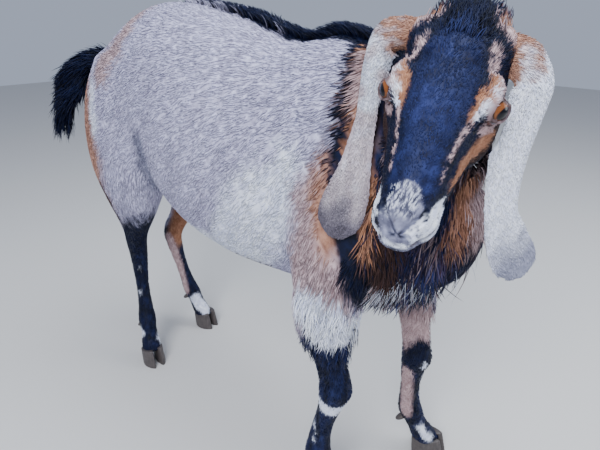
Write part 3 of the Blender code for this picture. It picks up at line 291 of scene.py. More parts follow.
NECK_ALONG = unit(np.subtract(NECK_TO, NECK_FROM))
NECK_UP = unit(np.array([0, 0, 1.0]) - NECK_ALONG[2] * NECK_ALONG)
NECK_SIDE = np.cross(NECK_UP, NECK_ALONG)
trunk_rows = [(y, shift, (top + low) / 2, wide, (top - low) / 2, (top - low) / 2)
              for y, top, low, wide, shift in TRUNK]
neck_rows = [(place, 0.0, 0.0, wide, high, low) for place, high, low, wide in NECK]
head_rows = [(place, 0.0, (top + low) / 2, wide, (top - low) / 2, (top - low) / 2)
             for place, top, low, wide in HEAD]
LIMBS = {
    "trunk": Limb((0, 0, 0), (0, 1, 0), (1, 0, 0), (0, 0, 1), trunk_rows, 0.03),
    "neck": Limb(NECK_FROM, NECK_ALONG, NECK_SIDE, NECK_UP, neck_rows, 0.04),
    "head": Limb(POLL, AHEAD, LEFT, RISE, head_rows, 0.016),
}
for leg, rows in LEGS.items():
    slices = [(-z, x, -y, wide, front, back) for z, x, y, wide, front, back in rows]
    LIMBS[leg] = Limb((0, 0, 0), (0, 0, -1), (1, 0, 0), (0, -1, 0), slices, 0.02)
SHIFT = np.mean(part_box("eye_left"), axis=0) - on_head(*EYE_AT)
print("everything moves by", np.round(SHIFT, 4), "to stand where the solid model stands")

# %% [markdown]
# ## Cheeks, brows and lips
# A skull drawn only from slices looks like a sausage.  Egg-shaped swellings
# joined to it with a small rounding give the rim over each eye, the broad
# cheek, the two low knobs where the horn buds were and the full upper lip.

# %% Swellings and the whole field
def blend(first, second, width):
    """The smaller of two distances, with a rounded corner of that width."""
    mix = np.clip(0.5 + 0.5 * (second - first) / width, 0, 1)
    return second * (1 - mix) + first * mix - width * mix * (1 - mix)


EYE_A, EYE_B, EYE_C = EYE_AT
SWELLINGS = [((0.208, 0.0, -0.074), (0.024, 0.022, 0.014), 0.010)]
for s in (1, -1):
    SWELLINGS += [
        ((EYE_A - 0.004, s * (EYE_B - 0.003), EYE_C + 0.011), (0.026, 0.014, 0.012), 0.012),
        ((0.088, s * 0.037, -0.060), (0.040, 0.021, 0.037), 0.020),
        ((0.052, s * 0.019, 0.009), (0.011, 0.009, 0.0095), 0.008),
        ((0.210, s * 0.0155, -0.050), (0.026, 0.017, 0.019), 0.010),
        ((0.223, s * 0.0140, -0.029), (0.014, 0.0110, 0.012), 0.008),
        ((0.018, s * 0.044, -0.014), (0.022, 0.011, 0.017), 0.018),
    ]


def in_head(points):
    """Points as ahead, left and up of the poll."""
    return (points - POLL) @ HEAD_AXES.T


def mirror(local):
    """Places on the head with the right side folded over onto the left."""
    return np.stack([local[:, 0], np.abs(local[:, 1]), local[:, 2]], 1)


def skull(points):
    """Distance to the head with its swellings."""
    value = LIMBS["head"].distance(points)
    local = in_head(points)
    for centre, radii, width in SWELLINGS:
        value = blend(value, oval_distance(local - centre, np.array(radii)), width)
    return value


JOINS = {"foreleg_right": 0.035, "foreleg_left": 0.035, "hindleg_right": 0.030,
         "hindleg_left": 0.030, "neck": 0.045}


def trunk_and_limbs(points):
    """Distance to trunk, neck and legs, joined with soft fillets."""
    value = LIMBS["trunk"].distance(points)
    for name, width in JOINS.items():
        value = blend(value, LIMBS[name].distance(points), width)
    return value


def flesh(points):
    """The whole animal but its ears and tail: below nought is inside."""
    return blend(trunk_and_limbs(points), skull(points), 0.012)


def slope(field, points, step=0.0008):
    """Central differences along each axis."""
    ways = np.eye(3) * step
    return np.stack([(field(points + way) - field(points - way)) / (2 * step) for way in ways], 1)


def onto_skin(field, points, rounds=4):
    """Newton steps down the slope until the distance is nought."""
    for _ in range(rounds):
        grad = slope(field, points)
        push = field(points) / np.maximum((grad**2).sum(1), 0.05)
        points = points - grad * np.clip(push, -0.012, 0.012)[:, None]
    return points


print("the poll is", round(float(flesh(POLL[None])[0]) * -1000), "mm deep in the flesh")

# %% [markdown]
# ## Meshes from arrays
# Blender takes a mesh fastest as whole arrays: all corners at once, then how
# many corners each face has.  One helper does it for every piece here, and
# one more wraps a grid of points, ring by ring, into a closed tube.

# %% Mesh helpers
def make_mesh(name, points, quads=None, tris=None):
    """A mesh object at the origin from arrays, moved to where the solid model stands."""
    quads = np.zeros((0, 4), int) if quads is None else np.asarray(quads)
    tris = np.zeros((0, 3), int) if tris is None else np.asarray(tris)
    sizes = np.repeat([4, 3], [len(quads), len(tris)])
    corners = np.concatenate([quads.ravel(), tris.ravel()]).astype(np.int32)
    mesh = bpy.data.meshes.new(name)
    mesh.vertices.add(len(points))
    mesh.vertices.foreach_set("co", (np.asarray(points) + SHIFT).astype(np.float32).ravel())
    mesh.loops.add(len(corners))
    mesh.loops.foreach_set("vertex_index", corners)
    mesh.polygons.add(len(sizes))
    mesh.polygons.foreach_set("loop_start", np.concatenate([[0], np.cumsum(sizes)[:-1]]).astype(np.int32))
    mesh.update(calc_edges=True)
    mesh.polygons.foreach_set("use_smooth", np.ones(len(sizes), bool))
    item = bpy.data.objects.new(name, mesh)
    bpy.context.scene.collection.objects.link(item)
    return item


def tube_faces(rings, points):
    """Quads between rings that close on themselves, and a fan at each end."""
    i, j = np.meshgrid(np.arange(rings - 1), np.arange(points), indexing="ij")
    a, b = i * points + j, i * points + (j + 1) % points
    quads = np.stack([a, b, b + points, a + points], -1).reshape(-1, 4)
    k = np.arange(points)
    first, last = rings * points, rings * points + 1
    top = (rings - 1) * points
    fans = [np.stack([np.full(points, first), (k + 1) % points, k], 1),
            np.stack([np.full(points, last), top + k, top + (k + 1) % points], 1)]
    return quads, np.concatenate(fans)


def tube(name, grid, inside_out=False):
    """A closed tube through a grid of points shaped (rings, points, 3)."""
    rings, points = grid.shape[:2]
    quads, tris = tube_faces(rings, points)
    if inside_out:
        quads, tris = quads[:, ::-1], tris[:, ::-1]
    ends = np.stack([grid[0].mean(0), grid[-1].mean(0)])
    return make_mesh(name, np.concatenate([grid.reshape(-1, 3), ends]), quads, tris)


def points_of(item):
    flat = np.empty(len(item.data.vertices) * 3, np.float32)
    item.data.vertices.foreach_get("co", flat)
    return flat.reshape(-1, 3).astype(float) - SHIFT


def set_points(item, points):
    item.data.vertices.foreach_set("co", (points + SHIFT).astype(np.float32).ravel())
    item.data.update()


def normals_of(item):
    flat = np.empty(len(item.data.vertices) * 3, np.float32)
    item.data.vertex_normals.foreach_get("vector", flat)
    return flat.reshape(-1, 3).astype(float)


def settle(item):
    """Turn the object's modifiers into its own mesh."""
    graph = bpy.context.evaluated_depsgraph_get()
    solved = bpy.data.meshes.new_from_object(item.evaluated_get(graph))
    item.modifiers.clear()
    item.data = solved
    return item


def give(item, name, values):
    """Store one colour of four numbers for every point of a mesh."""
    made = item.data.attributes.new(name, "FLOAT_COLOR", "POINT")
    made.data.foreach_set("color", np.asarray(values, np.float32).ravel())


print("a tube of 4 rings of 8 points has", sum(len(faces) for faces in tube_faces(4, 8)), "faces")

# %% [markdown]
# ## One skin
# Each limb is first laid out as its own tube.  A voxel remesh melts the tubes
# into one even net, and every point of it is then drawn onto the distance
# field.  The face needs more detail than the flank, so only its faces are
# divided again before the last pull.

# %% The skin's rough net
BODY_NET = 0.0062        # size of the net's squares over the body
LONG_COAT, SHORT_COAT = 0.0040, 0.0016     # how deep the skin lies under the solid model


def skin_field(points):
    """The flesh less the coat's depth, which is less on the head and the feet."""
    high = np.clip((points[:, 2] - 0.10) / 0.25, 0, 1)
    body = trunk_and_limbs(points) + SHORT_COAT + (LONG_COAT - SHORT_COAT) * high
    return blend(body, skull(points) + SHORT_COAT, 0.014)


def weld_limbs(name):
    """Joins the limbs' tubes and remeshes them as one closed net."""
    blanks = [tube(f"blank_{key}", limb.grid()) for key, limb in LIMBS.items()]
    body = blanks[0]
    with bpy.context.temp_override(active_object=body, selected_editable_objects=blanks):
        bpy.ops.object.join()
    body.name = name
    net = body.modifiers.new("net", "REMESH")
    net.mode = "VOXEL"
    net.voxel_size = BODY_NET
    return settle(body)


def divide_where(item, chosen, cuts):
    """Divides the faces whose middle is chosen, so that the net there is finer."""
    net = bmesh.new()
    net.from_mesh(item.data)
    middles = np.array([face.calc_center_median()[:] for face in net.faces]) - SHIFT
    edges = {edge for face, use in zip(net.faces, chosen(middles)) if use for edge in face.edges}
    bmesh.ops.subdivide_edges(net, edges=list(edges), cuts=cuts, use_grid_fill=True)
    net.to_mesh(item.data)
    net.free()


def relax(item, times):
    """Each point goes half way to the middle of its neighbours."""
    net = bmesh.new()
    net.from_mesh(item.data)
    for _ in range(times):
        bmesh.ops.smooth_vert(net, verts=net.verts, factor=0.5,
                              use_axis_x=True, use_axis_y=True, use_axis_z=True)
    net.to_mesh(item.data)
    net.free()


skin = weld_limbs("skin")
set_points(skin, onto_skin(skin_field, points_of(skin)))
relax(skin, 2)
set_points(skin, onto_skin(skin_field, points_of(skin), 3))
print("skin over the body:", len(skin.data.polygons), "faces")

# %% Finer faces over the head, and finer still round the eyes and lips
HEAD_NEAR, EYE_NEAR, MUZZLE_FROM = 0.012, 0.030, 0.172


def near_head(points):
    return (skull(points) < HEAD_NEAR) & (in_head(points)[:, 0] > -0.01)


def near_features(points):
    local = in_head(points)
    eyes = np.linalg.norm(mirror(local) - EYE_AT, axis=1) < EYE_NEAR
    return (skull(points) < HEAD_NEAR) & (eyes | (local[:, 0] > MUZZLE_FROM))


divide_where(skin, near_head, 1)
set_points(skin, onto_skin(skin_field, points_of(skin), 2))
divide_where(skin, near_features, 2)
set_points(skin, onto_skin(skin_field, points_of(skin), 3))
skin.data.polygons.foreach_set("use_smooth", np.ones(len(skin.data.polygons), bool))
print("skin with its face:", len(skin.data.polygons), "faces")

# %% [markdown]
# ## Lids, nostrils and lips
# These are worked into the same skin by moving its points.  Round each eye
# the distance from the eyeball's centre is set: sunk behind the ball inside
# the almond opening, and raised to a rolled rim just outside it.  Nostrils and
# the mouth are grooves along a line, as deep as a bell curve of the distance
# to that line says.

# %% Facial detail
EYE_TILT, LID_WIDE, LID_HIGH = 12.0, 41.0, 30.0      # degrees, seen from the ball's middle
LID_SUNK, LID_RISE, LID_HOOD = 0.0032, 0.0050, 0.0010


def eye_axes(s):
    """Outward axis of an eye, with the ways along and across its opening."""
    ahead, out, up = EYE_LOOKS
    axis = unit(ahead * AHEAD + s * out * LEFT + up * RISE)
    tilt = math.radians(EYE_TILT)
    wide = unit(AHEAD - (AHEAD @ axis) * axis)
    high = np.cross(axis, wide) * s
    return axis, math.cos(tilt) * wide - math.sin(tilt) * high, math.sin(tilt) * wide + math.cos(tilt) * high


def near_path(points, path):
    """Least distance from each point to a line of points, and the reach along it."""
    path = np.array(path, float)
    best = np.full(len(points), 9.0)
    along = np.zeros(len(points))
    for k in range(len(path) - 1):
        start, step = path[k], path[k + 1] - path[k]
        t = np.clip(((points - start) @ step) / (step @ step), 0, 1)
        far = np.linalg.norm(points - start - t[:, None] * step, axis=1)
        near = far < best
        best = np.where(near, far, best)
        along = np.where(near, (k + t) / (len(path) - 1), along)
    return best, along


def bell(distance, width):
    return np.exp(-((distance / width) ** 2))


def ease(low, high, value):
    t = np.clip((value - low) / (high - low), 0, 1)
    return t * t * (3 - 2 * t)


MOUTH = [(0.176, 0.036, -0.054), (0.205, 0.034, -0.048), (0.232, 0.026, -0.042),
         (0.243, 0.014, -0.039), (0.247, 0.0, -0.036)]
NOSTRIL = [(0.218, 0.0205, -0.017), (0.226, 0.018, -0.017), (0.233, 0.013, -0.020),
           (0.2385, 0.0075, -0.0255), (0.241, 0.004, -0.028)]
TEAR = [(0.106, 0.047, -0.016), (0.116, 0.042, -0.014), (0.128, 0.037, -0.013)]
LIP_SPLIT = [(0.240, 0, -0.023), (0.248, 0, -0.036)]


def open_eye(points, s):
    """Radial rule: behind the ball for e < 0.90, a raised rim from e = 1, then back to the face."""
    centre = on_head(EYE_A, s * EYE_B, EYE_C)
    axis, wide, high = eye_axes(s)
    off = points - centre
    reach = np.linalg.norm(off, axis=1)
    way = off / reach[:, None]
    facing = np.maximum(way @ axis, 0.05)
    x = (way @ wide) / facing / math.tan(math.radians(LID_WIDE))
    y = (way @ high) / facing / math.tan(math.radians(LID_HIGH))
    e = np.sqrt(x**2 + (y * (1 + 0.55 * x**2)) ** 2)
    lid = LID_RISE + np.where(y > 0, LID_HOOD, 0.0)
    rim = EYE_RADIUS - LID_SUNK + lid * ease(0.90, 1.02, e) - 0.0006 * ease(1.1, 1.5, e)
    use = (1 - ease(1.25, 2.1, e)) * (way @ axis > 0.2) * (reach < 0.034)
    return points + way * ((rim - reach) * use)[:, None]


def face_relief(points, normals):
    """Minus depth bell(distance, width) for each groove, plus a low bell for the swelling beside it."""
    local = in_head(points)
    mirrored = mirror(local)
    lips, _ = near_path(mirrored, MOUTH)
    nose, along = near_path(mirrored, NOSTRIL)
    wider = 0.0012 * np.sin(math.pi * along)
    groove, _ = near_path(local, LIP_SPLIT)
    tear, _ = near_path(mirrored, TEAR)
    rise = -0.0032 * bell(lips, 0.0016) + 0.0011 * bell(lips - 0.0055, 0.0040)
    rise += -0.0070 * bell(nose, 0.0021 + wider) + 0.0012 * bell(nose - 0.0045 - wider, 0.0026)
    rise += -0.0011 * bell(groove, 0.0016)
    rise += -0.0014 * bell(tear, 0.0014) + 0.0009 * bell(tear - 0.0035, 0.0018)
    return points + normals * (rise * (skull(points) < 0.02))[:, None]


INSIDE_HORN = 0.004      # how far the skin reaches down inside the hoof


def seat_feet(points):
    """Skin below each hoof's upper rim is drawn up inside the horn."""
    for (cx, cy), turn, length, _ in FEET.values():
        turn = math.radians(turn)
        ahead = np.array([math.sin(turn), -math.cos(turn)])
        place = (points[:, :2] - (cx, cy)) @ ahead
        here = np.linalg.norm(points[:, :2] - (cx, cy), axis=1) < 0.06
        rim = CORONET + CORONET_RISE * place / length - INSIDE_HORN
        points[:, 2] = np.where(here & (points[:, 2] < rim), rim, points[:, 2])
    return points


spots = points_of(skin)
spots = face_relief(spots, normals_of(skin))
for s in (1, -1):
    spots = open_eye(spots, s)
set_points(skin, seat_feet(spots))
print("skin:", len(skin.data.loops) - 2 * len(skin.data.polygons), "triangles")

# %% [markdown]
# ## Eyes
# A goat's eye is an amber ball with a wide dark pupil and a clear bulge over
# the iris.  The ball is turned round its own looking axis, and each point
# stores how far it lies along and across the pupil, so that the material can
# draw iris and pupil at their real place.

# %% Eyeballs
EYE_BULGE = 0.0010


def eyeball(name, s):
    """Radius + a bell of 1 mm over the iris; rings go from the front pole to the back."""
    axis, wide, high = eye_axes(s)
    middle = on_head(EYE_A, s * EYE_B, EYE_C)
    angle = np.linspace(0.02, math.pi - 0.02, 48)[:, None]
    turn = np.linspace(0, 2 * math.pi, 64, endpoint=False)[None, :]
    radius = EYE_RADIUS + EYE_BULGE * np.exp(-((angle / 0.5) ** 4))
    way = (np.cos(angle)[..., None] * axis + (np.sin(angle) * np.cos(turn))[..., None] * wide
           + (np.sin(angle) * np.sin(turn))[..., None] * high)
    item = tube(name, middle + radius[..., None] * way, inside_out=s < 0)
    local = (points_of(item) - middle) / EYE_RADIUS
    flat = np.stack([local @ wide, local @ high, local @ axis, np.ones(len(local))], 1)
    give(item, "gaze", flat)
    return item


eyes = {"eye_left": eyeball("eyeball_left", 1), "eye_right": eyeball("eyeball_right", -1)}
for node, item in eyes.items():
    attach(item, "root")
    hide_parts(node)
print("eyeballs", round(EYE_RADIUS * 2000), "mm across")

# %% [markdown]
# ## Ears
# Each ear is a long leaf of skin, cupped towards the cheek and flared at its
# tip.  It is one closed surface of two numbers: how far down the ear, and the
# turn round its edge, which runs over the outer side and back over the inner.

# %% Ear surfaces
EAR_RINGS, EAR_POINTS = 72, 44
EAR_COAT = 0.0012        # room left for the hair at each edge
EAR_ROOT, EAR_CLEAR = 0.20, 0.004


def ear_grid(rows, out):
    """Middle + across half width cos + outward (half thickness sin - cup cos squared)."""
    rows = np.array(rows, float)
    fine = smooth_rows(np.column_stack([np.arange(len(rows)), rows]), EAR_RINGS)[:, 1:]
    along = unit(np.gradient(fine[:, :3], axis=0))
    outward = unit(np.array(out) - (along @ np.array(out))[:, None] * along)
    across = np.cross(along, outward)
    angle = np.linspace(0, 2 * math.pi, EAR_POINTS, endpoint=False)
    t = np.linspace(0, 1, EAR_RINGS)[:, None]
    middle, wide, cup = fine[:, None, :3], fine[:, 3][:, None], fine[:, 4][:, None]
    side, face = np.cos(angle)[None, :], np.sin(angle)[None, :]
    wave = 0.0022 * np.sin(9 * t + 2.0 * side) * side**2 * ease(0.3, 0.6, t)
    fold = -0.0016 * np.exp(-(((side - 0.25) / 0.22) ** 2)) * ease(0.15, 0.4, t) * (1 - ease(0.7, 0.9, t))
    thick = (EAR_THICK / 2 - 0.0008) * np.sqrt(np.clip(1 - 0.55 * side**2, 0.2, 1)) * face
    depth = -cup * side**2 - EAR_THICK / 2 + thick + wave + fold
    reach = (wide / 2 - EAR_COAT) * side
    return middle + across[:, None, :] * reach[..., None] + outward[:, None, :] * depth[..., None]


def clear_of_flesh(grid, root, room):
    """Points past the root are pushed up the slope of the distance until they are clear."""
    points = grid.reshape(-1, 3)
    loose = np.repeat(np.arange(len(grid)) / len(grid) > root, grid.shape[1])
    for _ in range(6):
        value = flesh(points)
        grad = slope(flesh, points)
        push = np.where(loose & (value < room), room - value, 0.0)
        points = points + grad * (push / np.maximum((grad**2).sum(1), 0.2))[:, None]
    return points.reshape(grid.shape)


ear_grids, ears = {}, {}
for label, (rows, out) in EARS.items():
    grid = clear_of_flesh(ear_grid(rows, out), EAR_ROOT, EAR_CLEAR)
    ear_grids[label] = grid
    ears[label] = tube(f"ear_skin_{label}", grid)
    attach(ears[label], "root")
    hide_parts(f"ear_{label}")
print("ears", [round(float(np.ptp(g[..., 2])), 3) for g in ear_grids.values()], "m high")

# %% [markdown]
# ## Tail
# The short tail arches up from its root and falls to its right in a brush.
# Its dock is a bent oval tube; the long hair that hides it comes later.

# %% Dock of the tail
TAIL_RINGS, TAIL_POINTS = 48, 24
DOCK_SHARE = 0.78        # the dock's share of the whole brush, which is hair for the rest


def tail_grid():
    """Middle + side half width cos + up half thickness sin, carried along a bent path."""
    rows = np.array(TAIL, float)
    fine = smooth_rows(np.column_stack([np.arange(len(rows)), rows]), TAIL_RINGS)[:, 1:]
    along = unit(np.gradient(fine[:, :3], axis=0))
    side = unit(np.cross(along, (0.55, -0.2, 0.8)))
    up = np.cross(side, along)
    angle = np.linspace(0, 2 * math.pi, TAIL_POINTS, endpoint=False)[None, :, None]
    halves = fine[:, None, 3:] * DOCK_SHARE
    return (fine[:, None, :3] + np.cos(angle) * side[:, None] * halves[..., :1]
            + np.sin(angle) * up[:, None] * halves[..., 1:])


dock_grid = tail_grid()
dock = tube("tail_dock", dock_grid)
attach(dock, "root")
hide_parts("tail")
print("dock of the tail:", len(dock.data.polygons), "faces")

# %% [markdown]
# ## Hooves
# A cloven hoof is two claws of horn, flat where they meet and below, sloped at
# the toe.  Horn grows down from the hairline, which leaves fine rings; they
# are real ridges here, a few tenths of a millimetre high.

# %% Claws and dewclaws
CLAW_OUT, CLAW_HALF = 0.0143, 0.0122             # a claw's middle from the foot's, and its half width
DEWCLAW_LONG, DEWCLAW_RADIUS = 0.0165, 0.0074


def foot_axes(foot):
    """Ahead and left of a foot, both level."""
    turn = math.radians(FEET[foot][1])
    return np.array([math.sin(turn), -math.cos(turn), 0.0]), np.array([math.cos(turn), math.sin(turn), 0.0])


def claw_grid(foot, hand):
    """Oval rings, widest at the back; their height goes from nought up to the sloping rim."""
    (cx, cy), _, length, _ = FEET[foot]
    ahead, side = foot_axes(foot)
    level = np.concatenate([[0.0, 0.0], np.linspace(0.02, 0.97, 26), [1.0, 1.0]])[:, None]
    inset = np.concatenate([[0.55, 0.96], np.full(26, 1.0), [0.93, 0.55]])[:, None]
    angle = np.linspace(0, 2 * math.pi, 40, endpoint=False)[None, :]
    fore, out = np.cos(angle), np.sin(angle)
    rings = 1 + 0.010 * np.sin(level * 34) * ease(0.02, 0.1, level) * (1 - ease(0.9, 1.0, level))
    flat = np.where(out * hand < 0, 0.80, 1.0)
    place = fore * (length / 2 - 0.0004) * (1 - 0.12 * level) * inset * rings - 0.007 * level
    wide = CLAW_HALF * (1 - 0.08 * level) * (1 - 0.30 * np.maximum(fore, 0) ** 2) * inset * rings * flat
    rim = CORONET + CORONET_RISE * place / length - 0.0003
    middle = np.array([cx, cy, 0.0]) + side * (hand * (CLAW_OUT - 0.003 * np.maximum(fore, 0)))[..., None]
    points = middle + ahead * place[..., None] + side * (out * wide)[..., None]
    points[..., 2] = level * rim
    return points


def dewclaw_grid(foot, hand):
    """A stub whose radius falls as the square root of what is left of its length."""
    _, _, _, (height, x, y) = FEET[foot]
    ahead, side = foot_axes(foot)
    base = np.array([x, y, height]) + side * hand * 0.0095 - ahead * 0.0225
    way = unit(-ahead * 0.75 + side * hand * 0.30 + np.array([0, 0, -0.60]))
    across = unit(np.cross(way, (0, 0, 1)))
    up = np.cross(across, way)
    t = np.linspace(0, 0.98, 12)[:, None, None]
    angle = np.linspace(0, 2 * math.pi, 20, endpoint=False)[None, :, None]
    radius = DEWCLAW_RADIUS * np.sqrt(1 - t**2.2)
    ring = np.cos(angle) * across + np.sin(angle) * up * 0.8
    return base + way * (-0.003 + DEWCLAW_LONG * t) + ring * radius


def merged(name, grids):
    """Several tubes as one mesh: each keeps its own faces, numbered after the last."""
    points, quads, tris, first = [], [], [], 0
    for grid in grids:
        sides, fans = tube_faces(*grid.shape[:2])
        points += [grid.reshape(-1, 3), grid[0].mean(0)[None], grid[-1].mean(0)[None]]
        quads.append(sides + first)
        tris.append(fans + first)
        first += grid.shape[0] * grid.shape[1] + 2
    return make_mesh(name, np.concatenate(points), np.concatenate(quads), np.concatenate(tris))


hooves = []
for foot in FEET:
    grids = [make(foot, hand) for make in (claw_grid, dewclaw_grid) for hand in (1, -1)]
    hoof = merged(f"horn_{foot}", grids)
    hooves.append(hoof)
    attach(hoof, "root")
    names = [f"{kind}_{foot}_{hand}" for kind in ("claw", "dewclaw") for hand in ("left", "right")]
    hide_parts(*names)
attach(skin, "root")
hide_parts("torso", "neck", "head", *[f"{leg}_{half}" for leg in LEGS for half in ("upper", "lower")])
print("four feet, each two claws and two dewclaws; lowest point",
      round(min(float(points_of(hoof)[:, 2].min()) for hoof in hooves) * 1000, 2), "mm")

# %% [markdown]
# ## Where each colour lies
# The coat is silver roan with a black line down the back, a black band over
# the shoulder, a dark chest shot with tan, black legs with pale marks, a black
# face with two tan stripes, and pale ears.  Each mark is a stroke: a line of
# points with a radius at each.  Every hair asks which strokes its root lies
# in, so skin and coat always agree.

# %% Strokes: colour, softness of the edge, and points with a radius
# The last colour is painted blue sheen, a reflection on black hair, not a colour the hair has.
ROAN, WHITE, TAN, BROWN, BLACK, PINK, GREY, BLUE_SHEEN = range(8)
BODY_STROKES = [
    (PINK, 0.03, [(-0.043, 0.55, 0.85, 0.012), (-0.108, 0.55, 0.793, 0.014), (-0.124, 0.6, 0.73, 0.02)]),
    (TAN, 0.05, [(-0.12, 0.7, 0.66, 0.03), (-0.13, 0.68, 0.56, 0.045), (-0.12, 0.7, 0.47, 0.045)]),
    (BROWN, 0.03, [(-0.14, 0.66, 0.47, 0.016), (-0.12, 0.67, 0.42, 0.03), (-0.08, 0.71, 0.4, 0.03)]),
    (WHITE, 0.016, [(-0.13, 0.64, 0.69, 0.008), (-0.15, 0.62, 0.61, 0.008)]),
    (GREY, 0.03, [(-0.15, 0.44, 0.62, 0.006), (-0.15, 0.45, 0.56, 0.016), (-0.125, 0.47, 0.5, 0.012)]),
    (WHITE, 0.04, [(-0.133, 0.084, 0.643, 0.01), (-0.137, 0.116, 0.593, 0.028),
        (-0.138, 0.157, 0.534, 0.04), (-0.12, 0.208, 0.471, 0.04)]),
    (WHITE, 0.02, [(-0.12, 0.18, 0.47, 0.018), (-0.11, 0.3, 0.46, 0.018), (-0.1, 0.42, 0.47, 0.012)]),
    (BROWN, 0.012, [(-0.085, 0.16, 0.425, 0.006), (-0.09, 0.3, 0.425, 0.006), (-0.09, 0.4, 0.44, 0.006)]),
    (PINK, 0.05, [(-0.14, 0.03, 0.6, 0.01), (-0.151, 0.012, 0.535, 0.04), (-0.153, 0.02, 0.487, 0.045)]),
    (TAN, 0.03, [(-0.128, 0.012, 0.655, 0.008), (-0.14, 0, 0.6, 0.01), (-0.15, -0.01, 0.56, 0.008)]),
]
NECK_STROKES = [
    (TAN, 0.014, [(-0.05, 0.022, 0.795, 0.012), (-0.086, 0.002, 0.764, 0.016),
        (-0.107, -0.009, 0.726, 0.017), (-0.121, -0.02, 0.681, 0.016), (-0.128, -0.028, 0.645, 0.014),
        (-0.13, -0.036, 0.6, 0.008)]),
    (PINK, 0.014, [(-0.06, 0.014, 0.786, 0.006), (-0.086, 0, 0.764, 0.007),
        (-0.105, -0.01, 0.73, 0.004)]),
    (TAN, 0.008, [(-0.122, -0.048, 0.64, 0.01), (-0.127, -0.047, 0.606, 0.01),
        (-0.127, -0.052, 0.575, 0.003)]),
    (BROWN, 0.01, [(-0.108, -0.075, 0.62, 0.01), (-0.114, -0.07, 0.562, 0.014),
        (-0.112, -0.068, 0.525, 0.01), (-0.11, -0.06, 0.49, 0.004)]),
    (BLACK, 0.01, [(-0.139, -0.029, 0.576, 0.012), (-0.137, -0.042, 0.545, 0.016),
        (-0.125, -0.05, 0.501, 0.014), (-0.09, -0.06, 0.47, 0.016)]),
    (PINK, 0.006, [(-0.11, -0.068, 0.52, 0.001), (-0.108, -0.058, 0.498, 0.004)]),
    (BLACK, 0.009, [(0, 0.06, 0.806, 0.008), (-0.034, 0.045, 0.797, 0.006), (-0.06, 0.036, 0.784, 0.004),
        (-0.082, 0.02, 0.767, 0.004), (-0.098, 0.012, 0.744, 0.005), (-0.114, 0.003, 0.713, 0.006),
        (-0.126, -0.001, 0.672, 0.007), (-0.135, -0.004, 0.63, 0.005), (-0.141, -0.01, 0.6, 0.002)]),
]
FRONT_STROKES = [
    (TAN, 0.012, [(-0.057, -0.123, 0.574, 0.002), (-0.046, -0.128, 0.59, 0.007),
        (-0.034, -0.129, 0.61, 0.01), (-0.025, -0.125, 0.65, 0.012)]),
    (PINK, 0.014, [(-0.002, -0.137, 0.561, 0.006), (0.006, -0.136, 0.585, 0.018),
        (0.008, -0.13, 0.63, 0.018)]),
    # Painted blue sheen over the dark chest.
    (BLUE_SHEEN, 0.008, [(-0.062, -0.119, 0.568, 0.009), (-0.067, -0.107, 0.547, 0.009),
        (-0.072, -0.094, 0.524, 0.009), (-0.076, -0.079, 0.5, 0.006)]),
    (PINK, 0.008, [(-0.072, -0.083, 0.499, 0.003), (-0.067, -0.066, 0.472, 0.006)]),
]
SPINE_STROKES = [
    (BLACK, 0.012, [(-0.055, -0.08, 0.835, 0.026), (-0.03, -0.03, 0.815, 0.022),
        (-0.005, 0.04, 0.795, 0.02), (0, 0.1, 0.8, 0.018), (0, 0.18, 0.797, 0.016),
        (0, 0.28, 0.823, 0.012), (0, 0.38, 0.842, 0.008), (0, 0.5, 0.85, 0.004)]),
]
LEG_STROKES = [
    (WHITE, 0.018, [(-0.152, 0.035, 0.458, 0.018), (-0.15, 0, 0.45, 0.026),
        (-0.105, -0.02, 0.436, 0.018)]),
    (WHITE, 0.006, [(-0.117, 0.034, 0.274, 0.007), (-0.114, 0.006, 0.25, 0.013),
        (-0.094, -0.014, 0.25, 0.012)]),
    (WHITE, 0.005, [(-0.113, 0.045, 0.205, 0.003), (-0.11, 0.045, 0.16, 0.001)]),
    (WHITE, 0.006, [(-0.115, 0.04, 0.075, 0.008), (-0.118, 0.02, 0.06, 0.008)]),
    (PINK, 0.02, [(0.063, -0.01, 0.39, 0.03), (0.07, -0.022, 0.325, 0.026)]),
    (BLACK, 0.01, [(0.07, -0.04, 0.29, 0.02), (0.075, -0.045, 0.262, 0.02)]),
    (PINK, 0.008, [(0.064, -0.021, 0.238, 0.01), (0.085, -0.011, 0.153, 0.011),
        (0.088, -0.016, 0.124, 0.008)]),
    (WHITE, 0.004, [(0.073, -0.052, 0.262, 0.005), (0.074, -0.052, 0.257, 0.005)]),
    (WHITE, 0.007, [(0.106, -0.043, 0.084, 0.008), (0.123, -0.055, 0.06, 0.01)]),
    (WHITE, 0.005, [(-0.085, 0.665, 0.25, 0.004), (-0.092, 0.66, 0.18, 0.004)]),
    (WHITE, 0.006, [(-0.107, 0.642, 0.082, 0.007), (-0.105, 0.64, 0.074, 0.007)]),
    (WHITE, 0.006, [(-0.075, 0.615, 0.06, 0.008), (-0.07, 0.612, 0.052, 0.008)]),
    (TAN, 0.026, [(0.04, 0.6, 0.42, 0.03), (0.042, 0.64, 0.35, 0.03), (0.05, 0.672, 0.29, 0.018)]),
    (PINK, 0.008, [(0.031, 0.695, 0.285, 0.01), (0.04, 0.69, 0.2, 0.012), (0.05, 0.68, 0.121, 0.01)]),
    (WHITE, 0.008, [(0.069, 0.655, 0.091, 0.014), (0.088, 0.64, 0.061, 0.015)]),
]
